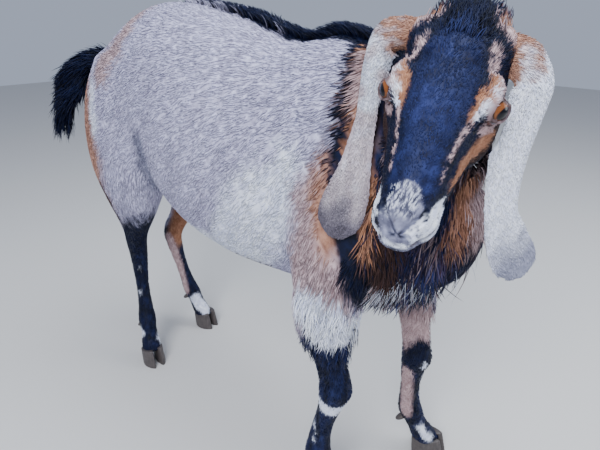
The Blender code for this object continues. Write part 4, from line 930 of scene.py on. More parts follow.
# On the head the points are ahead, left and up of the poll.  The third number is the
# side: 1 for the left only, -1 for the right only, 0 for both.
HEAD_STROKES = [
    (TAN, 0.01, 0, [(-0.03, 0.046, -0.014, 0.014), (0, 0.052, -0.014, 0.012),
        (0.025, 0.06, -0.02, 0.008)]),
    (PINK, 0.006, 0, [(-0.014, 0.03, -0.003, 0.003), (0.004, 0.041, 0.002, 0.005),
        (0.018, 0.05, 0, 0.004)]),
    (BROWN, 0.012, 0, [(0.08, 0.058, -0.055, 0.012), (0.11, 0.055, -0.05, 0.012),
        (0.14, 0.045, -0.046, 0.01), (0.165, 0.039, -0.036, 0.006)]),
    (TAN, 0.009, 1, [(0.108, 0.054, -0.04, 0.004), (0.127, 0.048, -0.038, 0.007),
        (0.142, 0.043, -0.036, 0.008), (0.16, 0.038, -0.03, 0.006), (0.176, 0.034, -0.03, 0.003)]),
    (PINK, 0.006, 0, [(0.036, 0.036, 0.001, 0.001), (0.045, 0.038, -0.001, 0.003),
        (0.056, 0.043, 0, 0.004), (0.079, 0.05, 0.003, 0.005), (0.092, 0.049, 0.003, 0.003)]),
    (TAN, 0.005, 0, [(0.072, 0.044, 0.003, 0.002), (0.086, 0.044, 0.005, 0.004),
        (0.098, 0.041, 0.004, 0.005), (0.108, 0.037, 0.001, 0.005), (0.121, 0.034, -0.002, 0.003)]),
    (WHITE, 0.004, 0, [(0.081, 0.053, 0.002, 0.003), (0.094, 0.05, 0.003, 0.003),
        (0.106, 0.044, 0, 0.003), (0.118, 0.039, -0.005, 0.002)]),
    (BLACK, 0.004, 0, [(0.02, 0.043, 0.001, 0.002), (0.042, 0.051, -0.005, 0.003),
        (0.066, 0.058, -0.01, 0.003)]),
    (PINK, 0.004, 0, [(0.088, 0.062, -0.036, 0.005), (0.102, 0.055, -0.03, 0.006),
        (0.116, 0.046, -0.022, 0.004)]),
    (PINK, 0.004, 0, [(0.124, 0.034, -0.004, 0.002), (0.147, 0.03, -0.002, 0.001),
        (0.161, 0.0275, -0.003, 0.001), (0.174, 0.026, -0.006, 0.001), (0.187, 0.025, -0.01, 0.0005)]),
    # Painted blue sheen: a broad band down the forehead and nose, then small bright sheen spots.
    (BLUE_SHEEN, 0.014, 0, [(0.04, 0.008, 0.012, 0.01), (0.08, 0.012, 0.015, 0.014),
        (0.128, 0.012, 0.014, 0.012)]),
    (BLUE_SHEEN, 0.012, 0, [(0.125, 0.004, 0.016, 0.012), (0.16, 0.008, 0.009, 0.01),
        (0.195, 0.01, -0.006, 0.008)]),
    (BLUE_SHEEN, 0.009, -1, [(0.108, -0.013, 0.015, 0.003), (0.135, -0.009, 0.015, 0.004)]),
    (BLUE_SHEEN, 0.009, 1, [(0.165, 0.008, 0.009, 0.002), (0.18, 0.012, 0.003, 0.004),
        (0.202, 0.019, -0.011, 0.004)]),
    (BLUE_SHEEN, 0.008, -1, [(0.05, -0.008, 0.014, 0.003), (0.062, -0.009, 0.015, 0.003)]),
    (GREY, 0.006, 0, [(0.208, 0, -0.006, 0.008), (0.222, 0.003, -0.012, 0.012),
        (0.24, 0.004, -0.026, 0.014)]),
    (GREY, 0.006, 0, [(0.215, 0.02, -0.056, 0.012), (0.238, 0.01, -0.048, 0.012)]),
    (WHITE, 0.004, 1, [(0.196, 0.032, -0.032, 0.003), (0.208, 0.028, -0.028, 0.005),
        (0.224, 0.023, -0.026, 0.006), (0.238, 0.015, -0.03, 0.004)]),
    (WHITE, 0.003, -1, [(0.196, -0.034, -0.034, 0.003), (0.208, -0.031, -0.031, 0.003),
        (0.224, -0.026, -0.03, 0.003)]),
    (WHITE, 0.006, 1, [(0.205, 0.032, -0.042, 0.006), (0.228, 0.025, -0.04, 0.006)]),
    (WHITE, 0.005, -1, [(0.196, -0.034, -0.04, 0.004), (0.215, -0.031, -0.043, 0.005),
        (0.232, -0.024, -0.045, 0.004)]),
    (WHITE, 0.003, 0, [(0.238, 0.02, -0.036, 0.001), (0.246, 0.01, -0.037, 0.002),
        (0.25, 0, -0.037, 0.002)]),
    (BROWN, 0.004, 0, [(0.243, 0, -0.019, 0.001), (0.238, 0.008, -0.016, 0.001)]),
    (GREY, 0.01, 0, [(0.215, 0, -0.076, 0.02), (0.2, 0, -0.082, 0.02)]),
]
print("strokes:", len(BODY_STROKES), "on the body,", len(HEAD_STROKES), "on the head")

# %% Colour shares at any place
def tone(points, size, seed, waves=7):
    """Smooth noise from -1 to 1: a mean of sine waves with random ways and starts."""
    draw = np.random.default_rng(seed)
    ways = unit(draw.normal(size=(waves, 3))) * draw.uniform(0.6, 1.5, (waves, 1)) * 2 * math.pi / size
    return np.clip(np.sin(points @ ways.T + draw.uniform(0, 2 * math.pi, waves)).mean(1) * 2.2, -1, 1)


def only(colour, count):
    """Shares for places that have one colour alone."""
    shares = np.zeros((count, 8))
    shares[:, colour] = 1
    return shares


def paint(shares, colour, mask):
    """Lays a colour over the others, as thick as the mask says."""
    shares *= (1 - mask)[:, None]
    shares[:, colour] += mask


def stroke_mask(points, path, soft):
    """1 inside the stroke's radius there, easing to 0 over its softness."""
    path = np.array(path, float)
    far, along = near_path(points, path[:, :3])
    radius = np.interp(along, np.linspace(0, 1, len(path)), path[:, 3])
    return 1 - ease(0, 1, (far - radius) / soft)


# Front edge of the silver flank: place against height.
CHEST_EDGE_Z = [0.36, 0.45, 0.5, 0.54, 0.571, 0.6, 0.63, 0.672, 0.713, 0.744, 0.768, 0.783, 0.8]
CHEST_EDGE_Y = [-0.02, -0.04, -0.036, -0.03, -0.022, -0.01, -0.001,
                0.004, 0.008, 0.017, 0.026, 0.04, 0.055]
LEG_TOPS = {"foreleg_right": 0.418, "foreleg_left": 0.385, "hindleg_right": 0.395, "hindleg_left": 0.36}


def chest_edge(z):
    """Where the silver flank ends and the dark chest begins, at this height."""
    return np.interp(z, CHEST_EDGE_Z, CHEST_EDGE_Y)


def body_shares(points):
    """Share of each colour for places on the trunk, neck and legs."""
    shares = only(ROAN, len(points))
    x, y, z = points.T
    right = np.stack([-np.abs(x), y, z], 1)
    rough = 0.008 * tone(points, 0.030, 3) + 0.004 * tone(points, 0.010, 4)
    under = ease(0.0, 1.0, (0.455 - z) / 0.04) * (y > 0.05) * (y < 0.60)
    paint(shares, GREY, 0.45 * under)
    for colour, soft, path in BODY_STROKES:
        paint(shares, colour, 0.9 * stroke_mask(right + rough[:, None], path, soft))
    front = ease(-0.010, 0.010, chest_edge(z) + rough - y)
    front *= ease(0.30, 0.36, z)
    sheen_strands = tone(points * (1, 1, 0.20), 0.020, 5)
    paint(shares, BLACK, front)
    paint(shares, BROWN, 0.6 * front * ease(0.10, 0.45, tone(points * (1, 1, 0.18), 0.024, 7)))
    # Painted blue sheen in strands over the dark chest.
    paint(shares, BLUE_SHEEN, 0.25 * front * ease(0.0, 0.50, sheen_strands))
    paint(shares, PINK, 0.45 * front * ease(0.52, 0.75, tone(points * (1, 1, 0.18), 0.018, 8)))
    for colour, soft, path in NECK_STROKES:
        paint(shares, colour, stroke_mask(right + rough[:, None], path, soft))
    for colour, soft, path in FRONT_STROKES:
        strength = 0.85 if colour == PINK else 0.70
        paint(shares, colour, strength * stroke_mask(points + rough[:, None], path, soft))
    for colour, soft, path in SPINE_STROKES:
        paint(shares, colour, stroke_mask(points + rough[:, None] * 0.6, path, soft))
    for leg, top in LEG_TOPS.items():
        reach = LIMBS[leg].distance(points)
        slant = -0.9 * (y - 0.62) if leg.startswith("hind") else 0.0
        here = (reach < 0.02) & (z < 0.46)
        dark = here * ease(-0.012, 0.012, top + slant * 0.5 + 1.5 * rough - z)
        paint(shares, BLACK, dark)
        # Painted blue sheen on the black legs, stronger on the forelegs.
        sheen = 0.40 if leg.startswith("fore") else 0.15
        paint(shares, BLUE_SHEEN, sheen * dark * ease(-0.4, 0.4, sheen_strands))
    for colour, soft, path in LEG_STROKES:
        paint(shares, colour, stroke_mask(points + 0.4 * rough[:, None], path, soft))
    return shares


# The strength of the painted blue sheen on the face.
FACE_SHEEN = 0.42         # strength of the blue strokes, so that black shows through


def head_shares(points):
    """Share of each colour for places on the head."""
    shares = only(BLACK, len(points))
    local = in_head(points)
    mirrored = mirror(local)
    rough = 0.0035 * tone(points, 0.014, 11) + 0.0015 * tone(points, 0.005, 12)
    jaw = ease(-0.070, -0.095, local[:, 2]) * ease(0.20, 0.17, local[:, 0])
    paint(shares, BROWN, 0.7 * jaw)
    for colour, soft, hand, path in HEAD_STROKES:
        where = (local if hand else mirrored) + rough[:, None]
        strength = FACE_SHEEN if colour == BLUE_SHEEN else 1.0
        paint(shares, colour, strength * stroke_mask(where, path, soft))
    patch = ease(0.196, 0.206, local[:, 0] + 1.5 * rough) * (1 - ease(0.222, 0.232, local[:, 0]))
    patch *= ease(0.017, 0.011, np.abs(local[:, 1] + 0.003)) * (local[:, 2] > -0.03)
    grain = local * (0.35, 1, 0.35) + 0.25 * local[:, [1, 0, 2]] * (0, 1, 0)
    fleck = 2.4 * tone(grain, 0.0024, 14, waves=40)
    paint(shares, BLACK, 0.70 * patch * ease(0.05, 0.40, -fleck))
    paint(shares, WHITE, 0.60 * patch * ease(0.10, 0.50, fleck))
    nose, _ = near_path(mirrored, NOSTRIL)
    lips, _ = near_path(mirrored, MOUTH)
    tear, _ = near_path(mirrored, TEAR)
    # Painted shade: dark lines in the nostril, mouth and tear-fold grooves.
    paint(shares, BLACK, 0.90 * ease(0.0046, 0.0020, nose))
    paint(shares, BROWN, 0.85 * ease(0.0034, 0.0012, lips))
    paint(shares, BLACK, 0.80 * ease(0.0028, 0.0010, tear))
    lid = np.linalg.norm(mirrored - EYE_AT, axis=1)
    paint(shares, PINK, 0.70 * ease(0.0225, 0.0200, lid))
    paint(shares, BROWN, 0.90 * ease(0.0182, 0.0172, lid))
    return shares


def skull_share(points):
    """1 on the head, easing to 0 over the poll and throat."""
    return ease(0.016, 0.002, skull(points)) * ease(-0.030, -0.012, in_head(points)[:, 0])


def coat_shares(points):
    """Head and body shares, faded into each other at the poll and throat."""
    on_skull = skull_share(points)[:, None]
    return head_shares(points) * on_skull + body_shares(points) * (1 - on_skull)


def give_coat(item, shares, along, shade):
    """Stored colours: a holds white, tan, brown, black; b pink, grey, along, shade; c painted blue sheen,
    roan.
    """
    blank, full = np.zeros_like(shade), np.ones_like(shade)
    give(item, "coat_a", shares[:, [WHITE, TAN, BROWN, BLACK]])
    give(item, "coat_b", np.stack([shares[:, PINK], shares[:, GREY], along, shade], 1))
    give(item, "coat_c", np.stack([shares[:, BLUE_SHEEN], shares[:, ROAN], blank, full], 1))


skin_spots = points_of(skin)
shares = coat_shares(skin_spots)
give_coat(skin, shares, np.full(len(shares), 0.25), 0.5 + 0.35 * tone(skin_spots, 0.012, 21))
print("colour shares of the skin:", np.round(shares.mean(0), 2))

# %% [markdown]
# ## How the coat lies
# Hair on a goat runs from the nose back over the head, down the neck, along
# the flank and down the legs.  The lie at any place is the sum of these
# flows, each weighted by how near its limb is, turned a little by smooth noise
# so that the coat parts into locks.

# %% Lie, length and width of the hair
def spread(points):
    """Weight of each limb: e to the minus distance over 2 cm."""
    gaps = {name: limb.distance(points) for name, limb in LIMBS.items()}
    gaps["head"] = skull(points)
    return {name: np.exp(-np.maximum(gap, 0) / 0.02) for name, gap in gaps.items()}


def lie_of(points, normals):
    """Sum of weight times flow, laid flat on the skin and turned by cos and sin of the noise."""
    _, y, z = points.T
    local = in_head(points)
    near = spread(points)
    haunch = ease(0.60, 0.74, y)
    shoulder = ease(0.14, 0.02, y) * ease(0.70, 0.60, z)
    down = 0.55 + 0.45 * ease(0.78, 0.55, z) + 1.8 * haunch + 1.5 * shoulder
    flow = near["trunk"][:, None] * np.stack([np.zeros(len(points)), 1.0 - 0.75 * haunch, -down], 1)
    chest = ease(0.02, -0.05, y)[:, None]
    neck_way = (1 - chest) * (-0.6 * NECK_ALONG + (0, 0.5, -0.5)) + chest * (0, 0.06, -1.0)
    flow += 1.3 * (near["neck"] * (local[:, 0] < 0.30))[:, None] * neck_way
    for leg in LEGS:
        flow += 1.2 * (near[leg] * (z < 0.56))[:, None] * (0, 0.12, -1.0)
    out = np.sign(local[:, 1]) * ease(0.0, 0.03, np.abs(local[:, 1]))
    low = ease(-0.02, -0.06, local[:, 2])
    face = -AHEAD[None, :] + (0.30 * out)[:, None] * LEFT - (0.55 * low)[:, None] * RISE
    on_face = near["head"] * ease(0.03, 0.0, skull(points)) * (local[:, 0] > -0.045)
    flow = flow * ease(0.004, 0.022, skull(points))[:, None] + 2.0 * on_face[:, None] * face
    flow -= (flow * normals).sum(1)[:, None] * normals
    flow = unit(flow)
    turn = 0.22 * tone(points, 0.045, 31) + 0.16 * tone(points, 0.012, 32)
    turn += 0.10 * rng.normal(size=len(points))
    return unit(flow * np.cos(turn)[:, None] + np.cross(normals, flow) * np.sin(turn)[:, None])


def growth(points):
    """Length, width and lift of a tuft for its place, and how far it is on the head."""
    _, y, z = points.T
    local = in_head(points)
    on_skull = skull_share(points)
    length = 0.0145 + 0.004 * ease(0.60, 0.50, z) + 0.007 * ease(0.05, -0.02, y) * ease(0.36, 0.40, z)
    leg = ease(0.42, 0.34, z)
    length = length * (1 - leg) + (0.0065 + 0.004 * ease(0.26, 0.34, z)) * leg
    width = 0.0021 * (1 - leg) + 0.00135 * leg
    a = local[:, 0]
    jaw = ease(-0.05, -0.09, local[:, 2]) * ease(0.17, 0.12, a)
    face = 0.0072 - 0.0030 * ease(0.05, 0.14, a) - 0.0016 * ease(0.17, 0.21, a) + 0.0045 * jaw
    length = length * (1 - on_skull) + face * on_skull
    width = width * (1 - on_skull) + (0.00120 - 0.0003 * ease(0.16, 0.2, a)) * on_skull
    lift = 0.16 + 0.10 * ease(0.04, -0.02, y) * (1 - on_skull) + 0.04 * leg
    return length, width, lift, on_skull


print("hair of the skin, in mm:", np.round(np.percentile(growth(skin_spots)[0] * 1000, [5, 50, 95]), 1))

# %% [markdown]
# ## Tufts as real mesh
# One tuft is a thin blade with three sides: rings of three points from root to
# tip and one point at the tip, ten faces for a short tuft.  All the tufts of a
# piece are worked out together as arrays.  Their roots are sunk a millimetre
# in the skin and their middles are set back onto the body's own curve, so no
# tuft flies off where the flank bends away.

# %% The tuft builder
TUFT_PATCH = 0.003       # size of one tuft's patch in the unwrapped picture
coat_pieces = []


def blades(rings):
    """Faces of one tuft: six between rings, three at the tip, one at the root."""
    faces = [(0, 2, 1)]
    for ring in range(rings - 1):
        for k in range(3):
            a, b = 3 * ring + k, 3 * ring + (k + 1) % 3
            faces += [(a, b, b + 3), (a, b + 3, a + 3)]
    last, tip = 3 * (rings - 1), 3 * rings
    faces += [(last + k, last + (k + 1) % 3, tip) for k in range(3)]
    return np.array(faces)


def tufts(name, roots, normals, lies, length, width, lift, unwrap, shares, shade,
          rings=2, droop=0.0, field=None, sunk=0.0012, bow=0.0):
    """Middle(t) = root + lie length t + normal lift length t (1.5 - 0.7 t) - down droop length t^2."""
    count = len(roots)
    across = np.cross(normals, lies)
    t = np.linspace(0, 1, rings + 1)
    length, width, lift = (np.broadcast_to(v, count).astype(float) for v in (length, width, lift))
    middles = []
    for step in t:
        rise = lift * length * step * (1.5 - 0.7 * step) - sunk * (step == 0)
        middle = roots + lies * (length * step)[:, None] + normals * rise[:, None]
        middle = middle + across * (np.asarray(bow) * length * step**2)[..., None]
        middle[:, 2] -= droop * length * step**2
        if field is not None and step > 0:
            middle = middle + normals * np.clip(rise - field(middle), -0.012, 0.012)[:, None]
        middles.append(middle)
    each = 3 * rings + 1
    points = np.empty((count, each, 3))
    for ring in range(rings):
        step = t[ring]
        half = (width / 2 * (0.80 if ring == 0 else 1.0) * (1 - 0.55 * step**1.5))[:, None]
        points[:, 3 * ring] = middles[ring] - across * half
        points[:, 3 * ring + 1] = middles[ring] + across * half
        points[:, 3 * ring + 2] = middles[ring] + normals * half * 0.75
    points[:, -1] = middles[-1]
    faces = (blades(rings)[None] + (np.arange(count) * each)[:, None, None]).reshape(-1, 3)
    item = make_mesh(name, points.reshape(-1, 3), tris=faces)
    along = np.append(np.repeat(t[:rings], 3), 1.0)
    sideways = np.append(np.tile([0.0, 1.0, 0.5], rings), 0.5)
    give_coat(item, np.repeat(shares, each, axis=0), np.tile(along, count), np.repeat(shade, each))
    corner_uv = (unwrap * (1 - TUFT_PATCH))[:, None, :] + TUFT_PATCH * np.stack([sideways, along], 1)
    layer = item.data.uv_layers.new(name="OFBake")
    layer.data.foreach_set("uv", corner_uv.reshape(-1, 2)[faces.ravel()].astype(np.float32).ravel())
    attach(item, "root")
    coat_pieces.append(item)
    print(f"{name}: {count} tufts, {len(faces)} triangles")
    return item


print("a short tuft has", len(blades(2)), "triangles, a long one", len(blades(4)))


# %% Places for roots
def scatter_on(item, count, weight):
    """Random places on a mesh: triangles drawn by area times weight, then a random mix of corners."""
    mesh = item.data
    mesh.calc_loop_triangles()
    tris = np.empty(len(mesh.loop_triangles) * 3, np.int32)
    mesh.loop_triangles.foreach_get("vertices", tris)
    tris = tris.reshape(-1, 3)
    corners, normals = points_of(item)[tris], normals_of(item)[tris]
    area = np.linalg.norm(np.cross(corners[:, 1] - corners[:, 0], corners[:, 2] - corners[:, 0]), axis=1) / 2
    chance = area * weight(corners.mean(1))
    pick = rng.choice(len(tris), count, p=chance / chance.sum())
    mix = rng.dirichlet((1, 1, 1), count)[..., None]
    return (corners[pick] * mix).sum(1), unit((normals[pick] * mix).sum(1))


def scatter_on_grid(grid, count, first=0.0, last=1.0):
    """Random places on a ring-by-ring grid, with place and turn from 0 to 1."""
    rings, points = grid.shape[:2]
    around = np.roll(grid, -1, axis=1)
    cell = np.cross(grid[1:] - grid[:-1], around[:-1] - grid[:-1])
    area = np.linalg.norm(cell, axis=-1)
    t = (np.arange(rings - 1) / (rings - 1))[:, None]
    area = area * ((t >= first) & (t <= last))
    pick = rng.choice(area.size, count, p=area.ravel() / area.sum())
    i, j = np.divmod(pick, points)
    k = (j + 1) % points
    s, u = rng.random(count)[:, None], rng.random(count)[:, None]
    here, beside = (grid[i, c] * (1 - s) + grid[i + 1, c] * s for c in (j, k))
    spots = here * (1 - u) + beside * u
    normals = unit(np.cross(grid[i, k] - grid[i, j], grid[i + 1, j] - grid[i, j]))
    centres = grid.mean(1)
    normals *= np.sign(((spots - centres[i]) * normals).sum(1))[:, None]
    flows = unit(grid[i + 1, j] - grid[i, j])
    where = np.stack([(j + u[:, 0]) / points, (i + s[:, 0]) / (rings - 1)], 1)
    return spots, normals, flows, where


# %% [markdown]
# ## The short coat
# Roots are thrown at random over the skin, thickest on the face and feet,
# where the hair is finest.  They are sorted to the limb they stand on, and
# each limb's own place and turn unwrap it for its colour picture.

# %% Where short tufts grow
NOSE_PAD = (0.238, 0, -0.022)


def bare(points):
    """Nearly no hair on the nose pad, the lips, the nostrils and the lids' rims."""
    local = in_head(points)
    mirrored = mirror(local)
    gaps = [(0.0175, 0.0215, np.linalg.norm(mirrored - EYE_AT, axis=1)),
            (0.0035, 0.0065, near_path(mirrored, NOSTRIL)[0]),
            (0.0020, 0.0042, near_path(mirrored, MOUTH)[0]),
            (0.012, 0.018, np.linalg.norm(local - NOSE_PAD, axis=1)),
            (0.0008, 0.0022, near_path(mirrored, TEAR)[0])]
    return np.minimum.reduce([ease(low, high, gap) for low, high, gap in gaps])


def ear_gap(spots):
    """Least distance to the middle lines of the hanging ears."""
    gap = np.full(len(spots), 1.0)
    for rows, _ in EARS.values():
        far, _ = near_path(spots, [row[:3] for row in rows[3:]])
        gap = np.minimum(gap, far)
    return gap


def thickness(points):
    """Tufts for the same area: 1 on the body, 1.6 on the legs, 4.6 on the head, few where bare."""
    on_skull = skull_share(points)
    leg = ease(0.42, 0.34, points[:, 2])
    return ((1 - leg) + 1.6 * leg) * (1 - on_skull) + 4.6 * on_skull * (0.03 + 0.97 * bare(points))


print("share of the skin that stays bare:", round(float((bare(skin_spots) < 0.5).mean()), 3))

# %% Short tufts over the skin
SHORT_TUFTS, PIECE_TUFTS = 100_000, 19_500
EAR_ROOM = 0.030         # no short hair grows nearer to the ears' middle lines

roots, normals = scatter_on(skin, int(SHORT_TUFTS * HASTE), thickness)
keep = (roots[:, 2] > CORONET + 0.002) & (ear_gap(roots) > EAR_ROOM)
keep &= bare(roots) > rng.random(len(roots)) * 0.5
roots, normals = roots[keep], normals[keep]
length, width, lift, on_skull = growth(roots)
length = length * rng.uniform(0.75, 1.25, len(roots)) * (0.18 + 0.82 * ease(0.022, 0.050, ear_gap(roots)))
width = width * rng.uniform(0.8, 1.2, len(roots))
if HASTE < 1:
    width = width * 1.5
lies = lie_of(roots, normals)
jitter = rng.normal(scale=0.0016, size=roots.shape) * (1 - 0.6 * on_skull)[:, None]
root_shares = coat_shares(roots + jitter)
cloudy = 0.08 * tone(roots, 0.020, 41) + 0.10 * tone(roots, 0.09, 42)
shade = np.clip(0.5 + 0.17 * rng.normal(size=len(roots)) + cloudy, 0, 1)
nearest = np.argmin(np.stack([skull(roots) - 0.004 if name == "head" else limb.distance(roots)
                              for name, limb in LIMBS.items()], 1), axis=1)
for number, (region, limb) in enumerate(LIMBS.items()):
    mine = np.flatnonzero(nearest == number)
    place, turn = limb.round_it(roots[mine])
    order = np.argsort(place)
    parts = max(1, math.ceil(len(mine) / PIECE_TUFTS))
    for part, group in enumerate(np.array_split(order, parts)):
        chosen = mine[group]
        span = place[group]
        low, high = span.min(), span.max()
        unwrap = np.stack([turn[group], (span - low) / max(high - low, 1e-6)], 1)
        tufts(f"coat_{region}_{part}", roots[chosen], normals[chosen], lies[chosen], length[chosen],
              width[chosen], lift[chosen], unwrap, root_shares[chosen], shade[chosen],
              field=None if region == "head" else skin_field)

# %% [markdown]
# ## Hair on ears and tail
# The ears carry the shortest hair of all, combed from root to tip.  The tail
# is the other way: long coarse hair that leaves the dock on all sides and
# falls past its end.

# %% Ear hair
EAR_TUFTS, TAIL_TUFTS = 9500, 3600
# Strength of the grey edge (painted shade along the curled rims), the pink, the grey tip and the brown tip.
EAR_TINTS = {"left": (0.08, 0.05, 0.85, 0.0), "right": (0.55, 0.60, 0.85, 0.60)}


def ear_shares(spots, where, label):
    """Tan at the root, then pale, with a darker tip and painted shade at the rims; the right ear is pinker
    and greyer.
    """
    edge_grey, pink, tip_grey, tip_brown = EAR_TINTS[label]
    down = where[:, 1] + 0.05 * tone(spots, 0.02, 51)
    edge = np.abs(np.cos(2 * math.pi * where[:, 0]))
    shares = only(WHITE, len(spots))
    streak = tone(spots * (1, 1, 0.15), 0.012, 55)
    paint(shares, GREY, (0.06 + 0.4 * edge_grey) * ease(0.0, 0.6, streak))
    # Painted shade: grey along the ear's curled rims.
    paint(shares, GREY, edge_grey * ease(0.75, 1.0, edge))
    paint(shares, PINK, pink * ease(0.20, 0.55, down + 0.2 * tone(spots, 0.03, 52)))
    paint(shares, GREY, tip_grey * ease(0.66, 0.90, down))
    paint(shares, BROWN, tip_brown * ease(0.60, 0.92, down))
    paint(shares, PINK, 0.6 * ease(0.24, 0.14, down))
    paint(shares, TAN, 0.9 * ease(0.21, 0.10, down + 0.05 * tone(spots, 0.012, 53)))
    return shares


for label, grid in ear_grids.items():
    count = int(EAR_TUFTS * HASTE)
    spots, out, flows, where = scatter_on_grid(grid, count, 0.0, 0.985)
    lies_here = unit(flows + 0.18 * rng.normal(size=flows.shape))
    lies_here = unit(lies_here - (lies_here * out).sum(1)[:, None] * out)
    long = (0.0058 - 0.0012 * where[:, 1]) * rng.uniform(0.7, 1.3, count)
    shade_here = np.clip(0.55 + 0.18 * rng.normal(size=count), 0, 1)
    tufts(f"coat_ear_{label}", spots, out, lies_here, long, 0.0013, 0.20, where,
          ear_shares(spots, where, label), shade_here, sunk=0.0006)
    turn, down = np.meshgrid(np.arange(EAR_POINTS) / EAR_POINTS, np.linspace(0, 1, EAR_RINGS))
    places = np.concatenate([np.stack([turn, down], -1).reshape(-1, 2), [[0.0, 0.0], [0.0, 1.0]]])
    spots = points_of(ears[label])
    give_coat(ears[label], ear_shares(spots, places, label), np.full(len(spots), 0.4),
              0.5 + 0.3 * tone(spots, 0.008, 54))

# %% Tail hair
count = int(TAIL_TUFTS * HASTE)
spots, out, flows, where = scatter_on_grid(dock_grid, count, 0.12, 0.99)
long = (0.030 + 0.030 * where[:, 1]) * rng.uniform(0.7, 1.15, count)
shade_here = np.clip(0.45 + 0.25 * rng.normal(size=count), 0, 1)
combed = unit(flows + 0.10 * rng.normal(size=flows.shape))
tufts("coat_tail", spots, out, combed, long, 0.0026, 0.24, where, only(BLACK, count), shade_here,
      rings=4, droop=0.12, sunk=0.0015, bow=rng.normal(scale=0.10, size=count))
size = len(dock.data.vertices)
give_coat(dock, only(BLACK, size), np.full(size, 0.2), np.full(size, 0.4))

# %% [markdown]
# ## Long hair
# A nubian buck has a short upright ridge along the back, a rough chest, a ruff
# below each elbow and a tuft on the crown.  These locks have more rings, so
# that they can bend and hang.

# %% The lock builder
LOCKS = {"ridge": 2600, "chest": 8000, "guard": 300, "ruff": 1300, "crown": 900}


def long_locks(name, limb, candidates, count, keep, length, width, lift, lie, droop, pale=0.0):
    """Roots near the candidates that pass the test, with the given growth."""
    spots = onto_skin(skin_field, candidates, 5)
    spots = spots[keep(spots)][: int(count * HASTE)]
    number = len(spots)
    out = unit(slope(skin_field, spots))
    way = lie(spots) + 0.20 * rng.normal(size=spots.shape)
    way = unit(way - (way * out).sum(1)[:, None] * out)
    place, turn = LIMBS[limb].round_it(spots)
    shares_here = coat_shares(spots + rng.normal(scale=0.003, size=spots.shape))
    paint(shares_here, WHITE, np.full(number, pale))
    shade_here = np.clip(0.5 + 0.22 * rng.normal(size=number) + 0.2 * tone(spots, 0.015, 61), 0, 1)
    long = length(spots) * rng.uniform(0.7, 1.15, number)
    wide = width * rng.uniform(0.7, 1.2, number)
    return tufts(name, spots, out, way, long, wide, lift, np.stack([turn, place], 1), shares_here,
                 shade_here, rings=4, droop=droop, bow=rng.normal(scale=0.12, size=number))


def steady(*way):
    """The same way at every place."""
    return lambda p: np.tile(way, (len(p), 1))


def on_chest(p, room):
    """On throat and brisket: ahead of the flank's silver by the room, and off the head."""
    return (p[:, 1] < chest_edge(p[:, 2]) - room) & (p[:, 2] > 0.40) & (skull(p) > 0.014)


print("locks wanted:", LOCKS)

# %% Ridge, chest and guard hairs
# The ridge: along the spine from the crest of the neck to the loins.
ridge_y = rng.uniform(-0.09, 0.47, 6000)
side = rng.normal(scale=0.007, size=6000)
crest_x = np.interp(ridge_y, [-0.09, -0.03, 0.05], [-0.058, -0.030, 0.0])
crest_z = np.interp(ridge_y, [-0.09, 0.0, 0.3, 0.5], [0.87, 0.85, 0.86, 0.87])
long_locks("lock_ridge", "trunk", np.stack([crest_x + side, ridge_y, crest_z], 1), LOCKS["ridge"],
           keep=lambda p: (skull(p) > 0.010) & (p[:, 2] > 0.74) & (ear_gap(p) > 0.040),
           length=lambda p: 0.027 * (1 - 0.45 * ease(0.22, 0.46, p[:, 1])), width=0.0022, lift=0.75,
           lie=steady(0.0, 1.0, 0.0), droop=0.0)

# The chest: round the throat side of the neck and under the brisket.
reach = rng.uniform(-0.14, 0.20, 60000)
turn = rng.uniform(-2.1, 2.1, 60000)
around = np.sin(turn)[:, None] * NECK_SIDE - np.cos(turn)[:, None] * NECK_UP
ring = np.array(NECK_FROM) + NECK_ALONG * reach[:, None] + around * 0.15
long_locks("lock_chest", "neck", ring, LOCKS["chest"],
           keep=lambda p: on_chest(p, 0.004) & (ear_gap(p) > 0.034 + 0.026 * ease(0.66, 0.70, p[:, 2])),
           length=lambda p: 0.022 + 0.036 * ease(0.66, 0.50, p[:, 2]), width=0.0024, lift=0.26,
           lie=steady(0.0, 0.05, -1.0), droop=0.05)

# Pale guard hairs that stand out along the chest's lower edge.
long_locks("lock_guard", "neck", ring[::-1], LOCKS["guard"],
           keep=lambda p: on_chest(p, 0.010) & (p[:, 2] < 0.535) & (p[:, 0] > -0.10),
           length=lambda p: 0.046, width=0.0009, lift=0.55,
           lie=lambda p: np.stack([5.0 * p[:, 0], np.full(len(p), 0.25), np.full(len(p), -1.0)], 1),
           droop=0.05, pale=0.60)

# %% Ruffs and crown
# The ruffs: round each forearm just below the elbow.
for hand, x, y in (("right", -0.112, 0.016), ("left", 0.098, 0.004)):
    forearm = LIMBS[f"foreleg_{hand}"]
    angle = rng.uniform(0, 2 * math.pi, 2500)
    height = rng.uniform(0.375, 0.455, 2500)
    ruff = np.stack([x + 0.07 * np.cos(angle), y + 0.09 * np.sin(angle), height], 1)
    long_locks(f"lock_ruff_{hand}", f"foreleg_{hand}", ruff, LOCKS["ruff"],
               keep=lambda p: (p[:, 2] > 0.36) & (forearm.distance(p) < 0.01),
               length=lambda p: 0.034, width=0.0020, lift=0.34,
               lie=steady(0.0, 0.05, -1.0), droop=0.0)

# The crown: between and behind the horn buds.
behind = rng.uniform(-0.035, 0.028, 1500)[:, None]
aside = rng.normal(scale=0.013, size=1500)[:, None]
long_locks("lock_crown", "head", on_head(behind, aside, 0.03), LOCKS["crown"],
           keep=lambda p: skull(p) < 0.01,
           length=lambda p: 0.022 - 0.25 * np.clip(in_head(p)[:, 0], 0, 0.05), width=0.0017, lift=0.45,
           lie=steady(*-AHEAD), droop=0.0)
total = sum(len(item.data.polygons) for item in coat_pieces)
print("coat:", len(coat_pieces), "pieces,", total, "triangles")

# %% [markdown]
# ## Shader maths that reads like sums
# A material in Blender is a net of small nodes.  A class that wraps one socket
# and understands + and * lets the colour recipe be written as plain sums; each
# sum adds its Math node.

